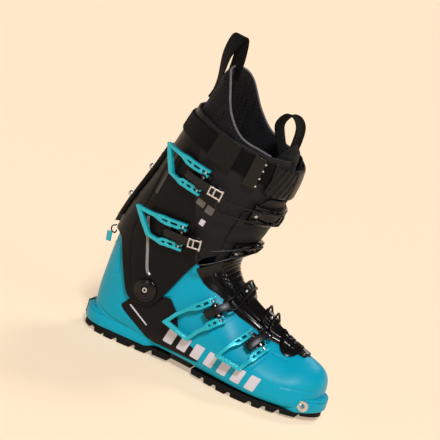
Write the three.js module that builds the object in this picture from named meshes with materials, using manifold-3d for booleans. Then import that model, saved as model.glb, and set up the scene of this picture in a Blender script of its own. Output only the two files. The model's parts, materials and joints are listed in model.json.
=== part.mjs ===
// Alpine touring boot, right foot, size 26.5. Millimetres, +X to the toe, +Y to the inner side, +Z up.
// The origin is the centre of the heel tread's ground face.
import * as THREE from "three";
import { mergeVertices } from "three/addons/utils/BufferGeometryUtils.js";
import Module from "manifold-3d";

const wasm = await Module();
wasm.setup();

// ---------------------------------------------------------------- driving dimensions
const SOLE_BACK = -44; // rearmost point of the heel ledge
const SOLE_TIP = 259; // foremost point of the toe ledge
const LEDGE_HALF = 34.5; // half width of the toe and heel ledges that a binding holds
const TOE_LEDGE_TOP = 27;
const HEEL_LEDGE_TOP = 27;
const TREAD_TOP = 9; // top of the forefoot rubber
const HEEL_TREAD_TOP = 10.3;
const GAP = 0.3; // between pieces that touch
const SHELL_WALL = 4;
const PIVOT = { x: 32.5, z: 76, shank: 6, journal: 9, cap: 13.5 };
const TONGUE = [0.3, 2]; // layers are given as distances from the shell's outer surface
const CUFF = [3.1, 5.8];
const FLAP = [6.4, 8.4];
const STRAP = [6.4, 8.6];
const STRAP_FITTINGS = [9.6, 11.8];
const LINER_CUFF = [-8, 1.4];
const LINER_FOOT = [-12, -SHELL_WALL - 1.2];

// ---------------------------------------------------------------- materials
const paint = (color, roughness, metalness = 0) =>
  new THREE.MeshStandardMaterial({ color, roughness, metalness });
const MATERIAL = {
  shell: paint(0x0a9fc0, 0.42),
  leverPaint: paint(0x17c3dc, 0.35, 0.2),
  plastic: paint(0x1b1a1d, 0.5),
  gloss: paint(0x0e0e10, 0.22),
  rubber: paint(0x111112, 0.8),
  steel: paint(0xb9bcc0, 0.3, 1),
  blackSteel: paint(0x242428, 0.35, 0.9),
  fabric: paint(0x161619, 0.9),
  webbing: paint(0x121214, 0.85),
};

// ---------------------------------------------------------------- the boot's form
// Sections from the toe tip round the heel and up the leg. Each lies between a point on the front line
// (x, z) and a point on the back line (x, z), with half widths to the outer and the inner side, the
// exponents of its front and back halves, and how far down it is widest.
const FORM = [
  [252, 40.5, 252, 26, 4, 4, 2, 2, 0.5],
  [249, 49.5, 250.5, 17, 17, 17, 2.1, 2.6, 0.52],
  [240.5, 58.5, 243.5, 11.5, 29, 29, 2.1, 3.2, 0.56],
  [224.5, 65.5, 228.5, 8, 40, 39, 2.1, 4, 0.62],
  [203, 73, 208.5, 8, 47, 44.5, 2, 4.6, 0.68],
  [178, 83.5, 183.5, 8, 51.5, 47, 2, 4.8, 0.7],
  [152.5, 95, 154.5, 8.5, 51, 46, 2, 4.8, 0.68],
  [134.5, 105, 121.5, 9, 48, 43.5, 2, 4.4, 0.62],
  [122, 112.5, 87.5, 9.5, 45.5, 42, 2, 3.8, 0.56],
  [114.5, 120, 51.5, 9.5, 44, 41.5, 2.1, 3.4, 0.53],
  [110.5, 127, 13.5, 9.5, 43.5, 41.5, 2.1, 3, 0.51],
  [110, 134, -28.5, 11, 43.5, 41.5, 2.1, 2.8, 0.5],
  [111, 141, -36, 41, 43.5, 41.5, 2.1, 2.5, 0.5],
  [112.5, 148, -36, 74, 43.5, 42, 2.1, 2.4, 0.5],
  [115, 156, -34.5, 105, 43.5, 42.5, 2.1, 2.3, 0.5],
  [117, 164, -30.5, 135, 45, 44, 2.1, 2.3, 0.51],
  [120.5, 175, -22, 162.5, 47, 46, 2.1, 2.3, 0.52],
  [124, 190.5, -9.5, 194, 49, 48, 2.1, 2.3, 0.52],
  [128, 207.5, -0.5, 222, 51, 50, 2.1, 2.3, 0.52],
  [132.5, 225.5, 7, 248.5, 52.5, 51.5, 2.1, 2.3, 0.52],
  [135.5, 243.5, 14, 272.5, 53, 52.5, 2.1, 2.3, 0.52],
  [136, 259.5, 20.5, 296.5, 52, 53, 2.1, 2.3, 0.52],
  [135, 274.5, 27.5, 323, 50, 53, 2.1, 2.3, 0.52],
  [132, 288.5, 34, 349, 47, 52, 2.1, 2.3, 0.52],
];
const LAST = FORM.length - 1;

// A section's values at a place between the stations, on a smooth curve through them.
function station(u) {
  const i = Math.min(Math.floor(u), LAST - 1);
  const t = u - i;
  const row = (k) => FORM[Math.max(0, Math.min(LAST, k))];
  return FORM[0].map((_, c) => {
    const [a, b, e, f] = [row(i - 1)[c], row(i)[c], row(i + 1)[c], row(i + 2)[c]];
    return b + 0.5 * t * (e - a + t * (2 * a - 5 * b + 4 * e - f + t * (3 * (b - e) + f - a)));
  });
}

// A section's frame at distance d from the shell's outer surface.
function section(u, d) {
  const [xt, zt, xb, zb, outer, inner, nFront, nBack, widest] = station(u);
  const length = Math.hypot(xt - xb, zt - zb);
  const half = Math.max(length / 2 + d, 1);
  const shift = d * Math.max(0, 1 - u / 3);
  return {
    x: (xt + xb) / 2 + shift,
    z: (zt + zb) / 2,
    ex: (xt - xb) / length,
    ez: (zt - zb) / length,
    half,
    outer: Math.max(outer + d, 1),
    inner: Math.max(inner + d, 1),
    nFront,
    nBack,
    k: Math.log(0.5) / Math.log(widest),
  };
}

// The point at angle phi (degrees, 0 in front, 90 at the outer side, 180 behind) and distance d.
function skin(u, phi, d) {
  const q = section(u, d);
  const a = THREE.MathUtils.degToRad(phi);
  const n = Math.cos(a) > 0 ? q.nFront : q.nBack;
  const along = Math.sign(Math.cos(a)) * Math.abs(Math.cos(a)) ** (2 / n);
  const across = Math.abs(Math.sin(a)) ** (2 / n);
  const s = (0.5 - 0.5 * along) ** (1 / q.k);
  const reach = q.half * (1 - 2 * s);
  const y = Math.sin(a) > 0 ? -q.outer * across : q.inner * across;
  return new THREE.Vector3(q.x + q.ex * reach, y, q.z + q.ez * reach);
}

// The station and angle of the point that is seen at (x, z) from the outer (-1) or inner (+1) side.
function seenAt(x, z, side) {
  const cross = (u) => {
    const q = section(u, 0);
    return q.ex * (z - q.z) - q.ez * (x - q.x);
  };
  const step = 0.25;
  for (let u = 0; u < LAST; u += step) {
    let [lo, hi] = [u, u + step];
    if (cross(lo) * cross(hi) > 0) continue;
    for (let i = 0; i < 30; i++) {
      const mid = (lo + hi) / 2;
      if (cross(lo) * cross(mid) <= 0) hi = mid;
      else lo = mid;
    }
    const q = section(lo, 0);
    const s = 0.5 - ((x - q.x) * q.ex + (z - q.z) * q.ez) / (2 * q.half);
    if (s < 0 || s > 1) continue;
    const along = 1 - 2 * s ** q.k;
    const n = along > 0 ? q.nFront : q.nBack;
    const phi = Math.acos(Math.sign(along) * Math.abs(along) ** (n / 2));
    return [lo, -side * THREE.MathUtils.radToDeg(phi)];
  }
  throw new Error(`nothing over ${x}, ${z}`);
}

// ---------------------------------------------------------------- solids
function toSolid(geometry) {
  const g = geometry.clone();
  g.deleteAttribute("normal");
  g.deleteAttribute("uv");
  const merged = mergeVertices(g, 1e-4);
  const mesh = new wasm.Mesh({
    numProp: 3,
    vertProperties: merged.attributes.position.array,
    triVerts: new Uint32Array(merged.index.array),
  });
  return new wasm.Manifold(mesh);
}

function toGeometry(solid) {
  const m = solid.getMesh();
  const g = new THREE.BufferGeometry();
  g.setAttribute("position", new THREE.BufferAttribute(new Float32Array(m.vertProperties), 3));
  g.setIndex(new THREE.BufferAttribute(new Uint32Array(m.triVerts), 1));
  const flat = g.toNonIndexed();
  flat.computeVertexNormals();
  return flat;
}

// A closed body through rings of points with the same count, its ends closed by fans.
function loft(rings, ringsMeet = false) {
  const n = rings[0].length;
  const points = rings.flat();
  const faces = [];
  const quad = (a, b, c, e) => faces.push(a, b, c, a, c, e);
  const bands = ringsMeet ? rings.length : rings.length - 1;
  for (let r = 0; r < bands; r++)
    for (let i = 0; i < n; i++) {
      const j = (i + 1) % n;
      const up = (r + 1) % rings.length;
      quad(r * n + i, r * n + j, up * n + j, up * n + i);
    }
  if (!ringsMeet)
    for (const [r, turn] of [[0, true], [rings.length - 1, false]]) {
      const middle = rings[r].reduce((sum, p) => sum.add(p), new THREE.Vector3());
      points.push(middle.divideScalar(n));
      for (let i = 0; i < n; i++) {
        const [a, b] = [r * n + i, r * n + ((i + 1) % n)];
        faces.push(points.length - 1, turn ? b : a, turn ? a : b);
      }
    }
  return closed(points, faces);
}

// A geometry from points and faces, turned to face out.
function closed(points, faces) {
  let volume = 0;
  for (let i = 0; i < faces.length; i += 3) {
    const [a, b, c] = [0, 1, 2].map((k) => points[faces[i + k]]);
    volume += a.dot(b.clone().cross(c));
  }
  if (volume < 0) faces.reverse();
  const g = new THREE.BufferGeometry().setFromPoints(points);
  g.setIndex(faces);
  return toGeometry(toSolid(g));
}

// The whole form up to a station, as one closed body.
function layer(d, from = 0, to = LAST, sides = 24) {
  const rings = [];
  for (let u = from; u <= to; u++)
    rings.push(Array.from({ length: sides }, (_, i) => skin(u, (i * 360) / sides, d)));
  return toSolid(loft(rings));
}

// A plate on the form between two stations and two angles. Either station may depend on the angle.
function patch(us, phis, ds, nu, nphi) {
  const at = (v, phi) => (typeof v === "function" ? v(phi) : v);
  const full = Math.abs(phis[1] - phis[0]) >= 360;
  const rings = [];
  const count = full ? nphi : nphi + 1;
  for (let j = 0; j < count; j++) {
    const phi = phis[0] + ((phis[1] - phis[0]) * j) / nphi;
    const ring = [];
    for (let i = 0; i <= nu; i++) {
      const u = at(us[0], phi) + ((at(us[1], phi) - at(us[0], phi)) * i) / nu;
      ring.push(skin(u, phi, ds[1]));
    }
    for (let i = nu; i >= 0; i--) {
      const u = at(us[0], phi) + ((at(us[1], phi) - at(us[0], phi)) * i) / nu;
      ring.push(skin(u, phi, ds[0]));
    }
    rings.push(ring);
  }
  return loft(rings, full);
}

// A side view outline (x, z) as a prism across the boot between two y values.
function sidePrism(outline, y0 = -90, y1 = 90) {
  const shape = new THREE.Shape(outline.map(([x, z]) => new THREE.Vector2(x, z)));
  const g = new THREE.ExtrudeGeometry(shape, { depth: y1 - y0, bevelEnabled: false });
  return toSolid(g.rotateX(Math.PI / 2).translate(0, y1, 0));
}

// A plan view outline (x, y) as a plate between two heights.
function planPlate(shape, z0, z1, curveSegments = 6) {
  const g = new THREE.ExtrudeGeometry(shape, { depth: z1 - z0, bevelEnabled: false, curveSegments });
  return toSolid(g.translate(0, 0, z0));
}

function box(x0, x1, y0, y1, z0, z1) {
  const g = new THREE.BoxGeometry(x1 - x0, y1 - y0, z1 - z0);
  return toSolid(g.translate((x0 + x1) / 2, (y0 + y1) / 2, (z0 + z1) / 2));
}

// A round bar between two points.
function rod(a, b, radius, sides = 12) {
  const way = b.clone().sub(a);
  const g = new THREE.CylinderGeometry(radius, radius, way.length(), sides);
  const turn = new THREE.Quaternion().setFromUnitVectors(
    new THREE.Vector3(0, 1, 0),
    way.clone().normalize(),
  );
  g.applyQuaternion(turn);
  const middle = a.clone().add(b).multiplyScalar(0.5);
  return toSolid(g.translate(middle.x, middle.y, middle.z));
}

// A flat bar along a path: each point has its own outward normal.
function flatBar(path, normals, width, thick) {
  const rings = path.map((p, i) => {
    const before = path[Math.max(0, i - 1)];
    const after = path[Math.min(path.length - 1, i + 1)];
    const along = after.clone().sub(before).normalize();
    const out = normals[i].clone();
    const across = out.clone().cross(along).normalize();
    const corner = (s, t) =>
      p.clone().addScaledVector(across, (s * width) / 2).addScaledVector(out, (t * thick) / 2);
    return [corner(1, -1), corner(1, 1), corner(-1, 1), corner(-1, -1)];
  });
  return toSolid(loft(rings));
}

// A round wire along a curve through points.
function wire(points, radius, steps, sides = 8) {
  const curve = new THREE.CatmullRomCurve3(points, false, "centripetal");
  const round = new THREE.Shape();
  for (let i = 0; i < sides; i++) {
    const a = (2 * Math.PI * i) / sides;
    const p = [radius * Math.cos(a), radius * Math.sin(a)];
    if (i) round.lineTo(...p);
    else round.moveTo(...p);
  }
  return new THREE.ExtrudeGeometry(round, { steps, extrudePath: curve, bevelEnabled: false });
}

// ---------------------------------------------------------------- assembly
const boot = new THREE.Group();
function place(name, solid, material) {
  const geometry = solid.isBufferGeometry ? solid : toGeometry(solid);
  const mesh = new THREE.Mesh(geometry, material);
  mesh.name = name;
  boot.add(mesh);
  return mesh;
}

// ---------------------------------------------------------------- lower shell
const SHELL_TOP = 15; // the last station that the shell's body is made from
// The shell's edge seen from the side: the sole line, the toe, the instep opening, the wing, the spine.
const SHELL_EDGE = [
  [SOLE_BACK - 5, HEEL_TREAD_TOP], [50, HEEL_TREAD_TOP], [56, 14], [106, 14], [112, TREAD_TOP],
  [236, TREAD_TOP], [256, 12.7], [270, 14.5], [268, 82], [229, 81], [224.5, 65], [207.5, 68],
  [196, 69.5], [175, 73.5], [162, 79], [132.5, 88.5], [114.5, 101], [95.5, 105.5], [84, 114],
  [76.5, 125.5], [57, 120.5], [2, 114], [-15, 120.5], [-53, 116.5],
];
// The dark inlay on each side, between the pivot and the sole.
const INLAY_EDGE = [
  [4.5, 45], [16.5, 60.5], [60, 78], [73.5, 64], [84, 42], [112.5, 30], [115.5, 18.5], [49.5, 17],
];

// A ledge with a half round end, which a binding or a crampon holds.
function ledge(xBack, xTip, z0, z1) {
  const towards = Math.sign(xTip - xBack);
  const shape = new THREE.Shape();
  const middle = xTip - towards * LEDGE_HALF;
  shape.moveTo(xBack, -LEDGE_HALF);
  shape.lineTo(middle, -LEDGE_HALF);
  shape.absarc(middle, 0, LEDGE_HALF, -Math.PI / 2, Math.PI / 2, towards < 0);
  shape.lineTo(xBack, LEDGE_HALF);
  return planPlate(shape, z0, z1, 9);
}

const INLAY_DEPTH = 1.5;
const inlayBand = layer(3, 6, SHELL_TOP).subtract(layer(-INLAY_DEPTH, 6, SHELL_TOP));
const SPINE_SLOT = { half: 9, bottom: 88, depth: -27 };
const TECH_PLATE = { half: 10, bottom: 11.5, top: 27, inner: -40 };
const TOE_BAR = { x: 242, z: 19, half: 31, radius: 5 };
const acrossY = (x, z, half) => [new THREE.Vector3(x, -half, z), new THREE.Vector3(x, half, z)];

function makeLowerShell() {
  const t = TECH_PLATE;
  let outside = layer(0, 0, SHELL_TOP).intersect(sidePrism(SHELL_EDGE));
  const ledges = ledge(215, SOLE_TIP, TREAD_TOP - 1, TOE_LEDGE_TOP).add(
    ledge(8, SOLE_BACK, TREAD_TOP, HEEL_LEDGE_TOP),
  );
  outside = outside.add(ledges.intersect(sidePrism(SHELL_EDGE)));
  return outside
    .subtract(layer(-SHELL_WALL, 0, SHELL_TOP, 20))
    .subtract(inlayBand.intersect(sidePrism(INLAY_EDGE)))
    .subtract(box(-60, SPINE_SLOT.depth, -SPINE_SLOT.half, SPINE_SLOT.half, SPINE_SLOT.bottom, 130))
    .subtract(box(-60, t.inner + GAP, -t.half - GAP, t.half + GAP, 5, t.top + GAP))
    .subtract(rod(...acrossY(TOE_BAR.x, TOE_BAR.z, 60), TOE_BAR.radius + GAP))
    .subtract(rod(...acrossY(PIVOT.x, PIVOT.z, 60), PIVOT.shank + GAP));
}
place("lower_shell", makeLowerShell(), MATERIAL.shell);

// The inlay plates, set into the shell's pockets.
for (const [name, y0, y1] of [["side_inlay_outer", -90, -20], ["side_inlay_inner", 20, 90]]) {
  const centre = [60, 42];
  const shrunk = INLAY_EDGE.map(([x, z]) => {
    const away = Math.hypot(x - centre[0], z - centre[1]);
    return [x + ((centre[0] - x) * 0.7) / away, z + ((centre[1] - z) * 0.7) / away];
  });
  const band = layer(0, 6, SHELL_TOP).subtract(layer(-INLAY_DEPTH + GAP, 6, SHELL_TOP));
  const hole = rod(...acrossY(PIVOT.x, PIVOT.z, 60), PIVOT.cap + 2);
  place(name, band.intersect(sidePrism(shrunk, y0, y1)).subtract(hole), MATERIAL.plastic);
}

// ---------------------------------------------------------------- soles
function soleShape(points) {
  const shape = new THREE.Shape();
  shape.moveTo(...points[0]);
  shape.splineThru(points.slice(1).map(([x, y]) => new THREE.Vector2(x, y)));
  return shape;
}
const HEEL_OUTLINE = [
  [76, -30], [40, -32], [0, -33], [-22, -29], [-37, -17], [-42, 0], [-37, 17], [-22, 29], [0, 33],
  [40, 32], [76, 30],
];
const TOE_OUTLINE = [
  [108, -36], [140, -45], [175, -48], [210, -42.5], [236, -31], [251, -16], [256.5, 0], [251, 16],
  [236, 31], [210, 40], [175, 43.5], [140, 41], [108, 34],
];
const LUG_DEPTH = 4;
const CHANNEL = 6; // half the width of the channel along the middle of the tread

// A rubber sole: its outline from above, and its side profile with one lug for each row. A row runs from
// x to x, its face stands off the ground by its third value, and the last says that the channel cuts it.
function treadSole(outline, top, rows) {
  const profile = [];
  for (const [x0, x1, rise] of rows) {
    const root = LUG_DEPTH + rise;
    profile.push([x0, root], [x0 + 1.2, rise], [x1 - 1.2, rise], [x1, root]);
  }
  let sole = planPlate(soleShape(outline), -1, 16, 3).intersect(sidePrism([...profile, ...top]));
  for (const [x0, x1, rise, split] of rows)
    if (split) sole = sole.subtract(box(x0 - 1, x1 + 1, -CHANNEL, CHANNEL, -2, LUG_DEPTH + rise));
  return sole;
}
const HEEL_ROWS = [
  [-44, -26, 2, false], [-20, -8, 0.4, true], [-6.5, 6.5, 0, false], [11, 29, 0, true],
  [34, 49, 0.6, true], [55, 76, 2.6, true],
];
const TOE_ROWS = [
  [108, 123, 2.4, true], [127, 139, 0.8, true], [144, 158, 0, true], [163, 184, 0, true],
  [189, 200, 0, true], [205, 216, 1, true], [220, 238, 2.6, false], [240, 262, 5.4, false],
];
const HEEL_TOP_LINE = [[76, HEEL_TREAD_TOP - GAP], [-44, HEEL_TREAD_TOP - GAP]];
const TOE_TOP_LINE = [[262, 13.7], [256, 12.4], [236, TREAD_TOP - GAP], [108, TREAD_TOP - GAP]];
place("heel_sole", treadSole(HEEL_OUTLINE, HEEL_TOP_LINE, HEEL_ROWS), MATERIAL.rubber);
place("toe_sole", treadSole(TOE_OUTLINE, TOE_TOP_LINE, TOE_ROWS), MATERIAL.rubber);
const ARCH_OUTLINE = [[77, -29], [91, -31], [105.5, -34], [105.5, 32], [91, 29], [77, 28]];
const archShape = new THREE.Shape(ARCH_OUTLINE.map(([x, y]) => new THREE.Vector2(x, y)));
place("arch_shank", planPlate(archShape, 6.8, 13.6), MATERIAL.plastic);

// ---------------------------------------------------------------- binding fittings
// The toe bar: a steel bar through the toe, with a cone socket at each end for a binding's pins.
function makeToeBar() {
  let bar = rod(...acrossY(TOE_BAR.x, TOE_BAR.z, TOE_BAR.half), TOE_BAR.radius, 16);
  for (const side of [-1, 1]) {
    const cone = new THREE.ConeGeometry(3.6, 6, 12).rotateX((side * -Math.PI) / 2);
    bar = bar.subtract(toSolid(cone.translate(TOE_BAR.x, side * (TOE_BAR.half - 2.5), TOE_BAR.z)));
  }
  return bar;
}
place("toe_pin_bar", makeToeBar(), MATERIAL.steel);
function makeTechPlate() {
  const t = TECH_PLATE;
  let plate = box(SOLE_BACK + 0.3, t.inner, -t.half, t.half, t.bottom, t.top);
  for (const y of [-6, 6]) plate = plate.subtract(box(-60, -42.2, y - 1.8, y + 1.8, 5, 20));
  return plate.subtract(rod(new THREE.Vector3(-60, 0, 22), new THREE.Vector3(0, 0, 22), 2.8));
}
place("heel_pin_plate", makeTechPlate(), MATERIAL.blackSteel);
place(
  "heel_plate_screw",
  rod(new THREE.Vector3(SOLE_BACK, 0, 22), new THREE.Vector3(TECH_PLATE.inner, 0, 22), 2.4, 10),
  MATERIAL.steel,
);

// ---------------------------------------------------------------- cuff pivots
for (const [name, side] of [["pivot_bolt_outer", -1], ["pivot_bolt_inner", 1]]) {
  const wall = Math.abs(skin(...seenAt(PIVOT.x, PIVOT.z, side), 0).y);
  const profile = [
    [0, wall - SHELL_WALL], [PIVOT.shank, wall - SHELL_WALL],
    [PIVOT.shank, wall + 1], [PIVOT.journal, wall + 1],
    [PIVOT.journal, wall + CUFF[1] + 0.5], [PIVOT.cap, wall + CUFF[1] + 0.5],
    [PIVOT.cap, wall + CUFF[1] + 2.5],
    [PIVOT.cap - 2, wall + CUFF[1] + 4.5], [4, wall + CUFF[1] + 4.5], [4, wall + CUFF[1] + 3],
    [0, wall + CUFF[1] + 3],
  ].map(([r, y]) => new THREE.Vector2(r, y));
  const g = new THREE.LatheGeometry(profile, 16);
  if (side < 0) g.rotateX(Math.PI);
  place(name, toSolid(g.translate(PIVOT.x, 0, PIVOT.z)), MATERIAL.gloss);
}

// ---------------------------------------------------------------- instep tongue
// The dark plastic tongue over the instep opening, from the toe box to just under the cuff.
const TONGUE_EDGE = [
  [229, 81], [225, 63], [207.5, 65.5], [196.5, 67], [173.5, 70.5], [160, 75.5], [131, 85.5], [111.5, 98],
  [92.5, 102.5], [80.5, 112], [74, 123], [80.5, 126.5], [92.5, 133], [104.5, 136.5],
  [146.5, 136], [167, 114.5],
];
place(
  "instep_tongue",
  layer(TONGUE[1], 1, 14).intersect(sidePrism(TONGUE_EDGE)).subtract(layer(TONGUE[0], 0, SHELL_TOP)),
  MATERIAL.gloss,
);
place("toe_vent_panel", patch([3.6, 4.5], [21, -21], [3.2, 4.8], 3, 4), MATERIAL.plastic);

// ---------------------------------------------------------------- cuff
const CUFF_EDGE = [
  [15.5, 60.5], [26.5, 57.5], [43.5, 61], [50.5, 70.5], [58, 86.5], [67, 108],
  [76, 126], [80.5, 132], [91.5, 138.5],
  [104.5, 142], [156.5, 143], [194.5, 205], [193, 267], [109, 269], [87, 272.5], [65, 276], [32.5, 287],
  [2.5, 290], [-67.5, 282.5], [-63.5, 123.5], [-36, 123], [-16, 122], [-4.5, 96], [10, 66.5],
];
function makeCuff() {
  const ring = layer(CUFF[1], 9, 22).subtract(layer(CUFF[0], 8, 23, 20));
  const slot = patch([11, 22.9], [18, -18], [0, 12], 11, 2);
  const bore = rod(...acrossY(PIVOT.x, PIVOT.z, 60), PIVOT.journal + GAP, 16);
  return ring.intersect(sidePrism(CUFF_EDGE)).subtract(toSolid(slot)).subtract(bore);
}
place("cuff_shell", makeCuff(), MATERIAL.plastic);
// The outer flap that closes over the front opening.
place("cuff_flap", patch([11.9, 18.8], [46, -30], FLAP, 7, 6), MATERIAL.plastic);

// ---------------------------------------------------------------- power strap
// The strap is narrower behind the calf.
const strapTop = (phi) => 20.95 - 0.65 * (0.5 - 0.5 * Math.cos(THREE.MathUtils.degToRad(phi)));
place("power_strap", patch([19.45, strapTop], [0, 360], STRAP, 2, 24), MATERIAL.webbing);
place("strap_pad", patch([18.9, 21.05], [40, -42], STRAP_FITTINGS, 2, 7), MATERIAL.fabric);
place("strap_slider", patch([19.35, 20.8], [97, 78], STRAP_FITTINGS, 1, 2), MATERIAL.gloss);
place("strap_hook", patch([19.0, 20.9], [62, 52], STRAP_FITTINGS, 1, 1), MATERIAL.gloss);

// ---------------------------------------------------------------- walk mode mechanism
const HOUSING = [6.4, 10.6]; // distances from the shell's surface, as above
const LEVER_LIFT = 9.8;
const LEVER_WIDTH = 13;
const rearPoint = (u, d, y = 0) => skin(u, 180, d).setY(y);
const WALK_PIVOT = rearPoint(17.75, LEVER_LIFT);

function makeHousing() {
  const plate = toSolid(patch([15.15, 18.35], [161, 199], HOUSING, 6, 4));
  const channel = LEVER_WIDTH / 2 + 1;
  const cut = box(-80, 40, -channel, channel, 120, 227);
  return plate.subtract(cut).subtract(rod(...acrossY(WALK_PIVOT.x, WALK_PIVOT.z, 30), 2.5, 10));
}
place("walk_housing", makeHousing(), MATERIAL.plastic);
[17.3, 16.1].forEach((u, i) => {
  const at = (d) => skin(u, 163.5, d);
  place(`housing_screw_${i + 1}`, rod(at(HOUSING[1] + 1.1), at(HOUSING[1] + 2.7), 3.2, 10), MATERIAL.steel);
});
place("walk_pivot_pin", rod(...acrossY(WALK_PIVOT.x, WALK_PIVOT.z, 11), 2.1, 10), MATERIAL.steel);

function makeWalkLever() {
  const us = [17.9, 17.4, 16.6, 15.8, 15.1, 14.75];
  const path = us.map((u) => rearPoint(u, LEVER_LIFT));
  const normals = us.map((u) => rearPoint(u, 10).sub(rearPoint(u, 8)).normalize());
  return flatBar(path, normals, LEVER_WIDTH, 5.6)
    .subtract(rod(...acrossY(WALK_PIVOT.x, WALK_PIVOT.z, 20), 2.5, 10));
}
place("walk_lever", makeWalkLever(), MATERIAL.blackSteel);

// The wire that the lever's foot is pulled by, and its tab, both given from the foot.
const leverFoot = rearPoint(14.7, LEVER_LIFT);
const fromFoot = ([x, y, z]) => leverFoot.clone().add(new THREE.Vector3(x, y, z));
const WIRE_ROUTE = [[1, -4, -4], [-4, -5, -7], [-3, -6, -12], [2, -7, -13], [3.5, -7, -9]];
const TAB_ROUTE = [[-3.5, -8.9, -12.5], [-1.5, -9.9, -24]];
place("walk_wire", wire(WIRE_ROUTE.map(fromFoot), 0.9, 10, 6), MATERIAL.blackSteel);
const tabOut = new THREE.Vector3(-0.6, -0.8, 0.1).normalize();
place("walk_pull_tab", flatBar(TAB_ROUTE.map(fromFoot), [tabOut, tabOut], 8, 3), MATERIAL.leverPaint);
const LOCK_PIN = { x: -33, z: 102 };
place(
  "lock_pin",
  rod(...acrossY(LOCK_PIN.x, LOCK_PIN.z, SPINE_SLOT.half - GAP), 2.4, 12),
  MATERIAL.steel,
);

// ---------------------------------------------------------------- liner
const LINER_FLOOR = 19;
const LINER_FOOT_EDGE = [
  [-60, LINER_FLOOR], [231, LINER_FLOOR], [234, 25.5], [270, 25.5], [267.5, 97], [109, 117],
  [97, 112.5], [-63, 104.5],
];
place(
  "liner_foot",
  layer(LINER_FOOT[1], 0, 14, 20)
    .subtract(layer(LINER_FOOT[0], 0, SHELL_TOP, 16))
    .intersect(sidePrism(LINER_FOOT_EDGE)),
  MATERIAL.fabric,
);
const FOOTBED = [21.2, 23.6];
place(
  "footbed",
  layer(LINER_FOOT[0] - 1, 0, 13, 16).intersect(box(-80, 222, -90, 90, ...FOOTBED)),
  MATERIAL.fabric,
);
// The board under the foot, cut to the inside of the shell.
place(
  "boot_board",
  layer(LINER_FOOT[1], 0, 13, 20).intersect(box(-80, 231, -90, 90, 14.2, LINER_FLOOR - GAP)),
  MATERIAL.plastic,
);
const COLLAR_EDGE = [
  [-54, 151.5], [-10, 152], [14.5, 141.5], [28.5, 131], [86.5, 144.5], [121, 163], [164.5, 214.5],
  [163, 260.5], [127, 263.5], [107, 271], [93, 273.5], [78.5, 280], [62, 297.5],
  [54, 311.5], [47.5, 325.5], [40, 337], [29, 345], [1, 344],
];
const TONGUE_SPLIT = 42;
function makeLinerCuff() {
  const inside = layer(LINER_CUFF[0], 11, 23, 20);
  const mouth = layer(LINER_CUFF[0] - 0.2, 21, 23, 20).translate(2, 0, 7);
  const front = toSolid(patch([10.5, 22.9], [TONGUE_SPLIT, -TONGUE_SPLIT], [-24, 12], 11, 4));
  return layer(LINER_CUFF[1], 12, 23, 20)
    .subtract(inside.add(mouth))
    .intersect(sidePrism(COLLAR_EDGE))
    .subtract(front);
}
place("liner_cuff", makeLinerCuff(), MATERIAL.fabric);
const tongueEdge = TONGUE_SPLIT - 7;
place(
  "liner_tongue",
  patch([14.9, 21.5], [tongueEdge, -tongueEdge], [-7.5, 1], 7, 6),
  MATERIAL.fabric,
);

// Webbing loops to pull the boot on, each sewn to the part that it lifts. `across` gives the way that
// the webbing's width runs at its start and over the rest.
function loop(points, across, width, thick) {
  const curve = new THREE.CatmullRomCurve3(points, false, "centripetal");
  const steps = 9;
  const path = curve.getPoints(steps);
  const normals = path.map((_, i) => {
    const way = across[0].clone().lerp(across[1], Math.min(1, (2.2 * i) / steps));
    return curve.getTangent(i / steps).cross(way).normalize();
  });
  return flatBar(path, normals, width, thick);
}
const at = (x, y, z) => new THREE.Vector3(x, y, z);
place(
  "heel_pull_tab",
  loop(
    [
      skin(21.5, 174, 4.8), skin(22.4, 174, 4.8), at(27, -7, 360), at(32, -7, 372), at(38, -5, 371),
      at(40.5, -4, 352),
    ],
    [at(0.05, -1, 0), at(0.85, -0.5, 0)], 18, 2,
  ),
  MATERIAL.webbing,
);
const acrossTongue = at(0.35, 0.94, 0);
place(
  "tongue_pull_loop",
  loop(
    [
      at(112, 0, 285), at(105, 0, 298), at(112, 0, 311), at(122, 0, 311), at(129, 0, 302), at(129, 0, 283),
    ],
    [acrossTongue, acrossTongue], 17, 2,
  ),
  MATERIAL.webbing,
);

// ---------------------------------------------------------------- buckles
// Each buckle is placed by the station and angle of its axle and of its handle's middle, and by its
// ladder's station, half height and angles. `on` and `under` are the surfaces that the two stand on,
// `skew` is how far the upper arm is longer than the middle of the lever, and `reach` how far the barrel
// goes past the axle.
const BUCKLES = [
  { axle: [18.16, 91], handle: [18.25, 127.4], skew: 8, on: CUFF[1], reach: 0.4,
    ladder: 17.5, half: 0.55, ends: [40, -24], under: FLAP[1], spread: 0.4 },
  { axle: [14.96, 82], handle: [15.39, 113], skew: 9, on: CUFF[1], reach: 0.4,
    ladder: 13.2, half: 1.2, ends: [36, -26], under: FLAP[1], spread: 0.75 },
  { axle: [7.77, 55.4], handle: [8.65, 93.9], skew: 8, on: 0.2, reach: 0.35,
    ladder: 7.15, half: 0.45, ends: [16, -34], under: TONGUE[1], spread: 0.3 },
  { axle: [5.41, 37.4], handle: [6.01, 84.9], skew: 5, on: 0.2, reach: 0.22,
    ladder: 5.35, half: 0.3, ends: [10, -34], under: TONGUE[1], spread: 0.2 },
];
const LEVER_HALF = 14.5; // half the width over the arms at the axle
const ARM = 4.4;
const ARM_OFF = LEVER_HALF - ARM / 2;
const AXLE_LIFT = 6.5;
const AXLE_RADIUS = 1.5;
const BARREL = { width: 9, thick: 4.4 };
const BAIL_RADIUS = 1.3;

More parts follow.
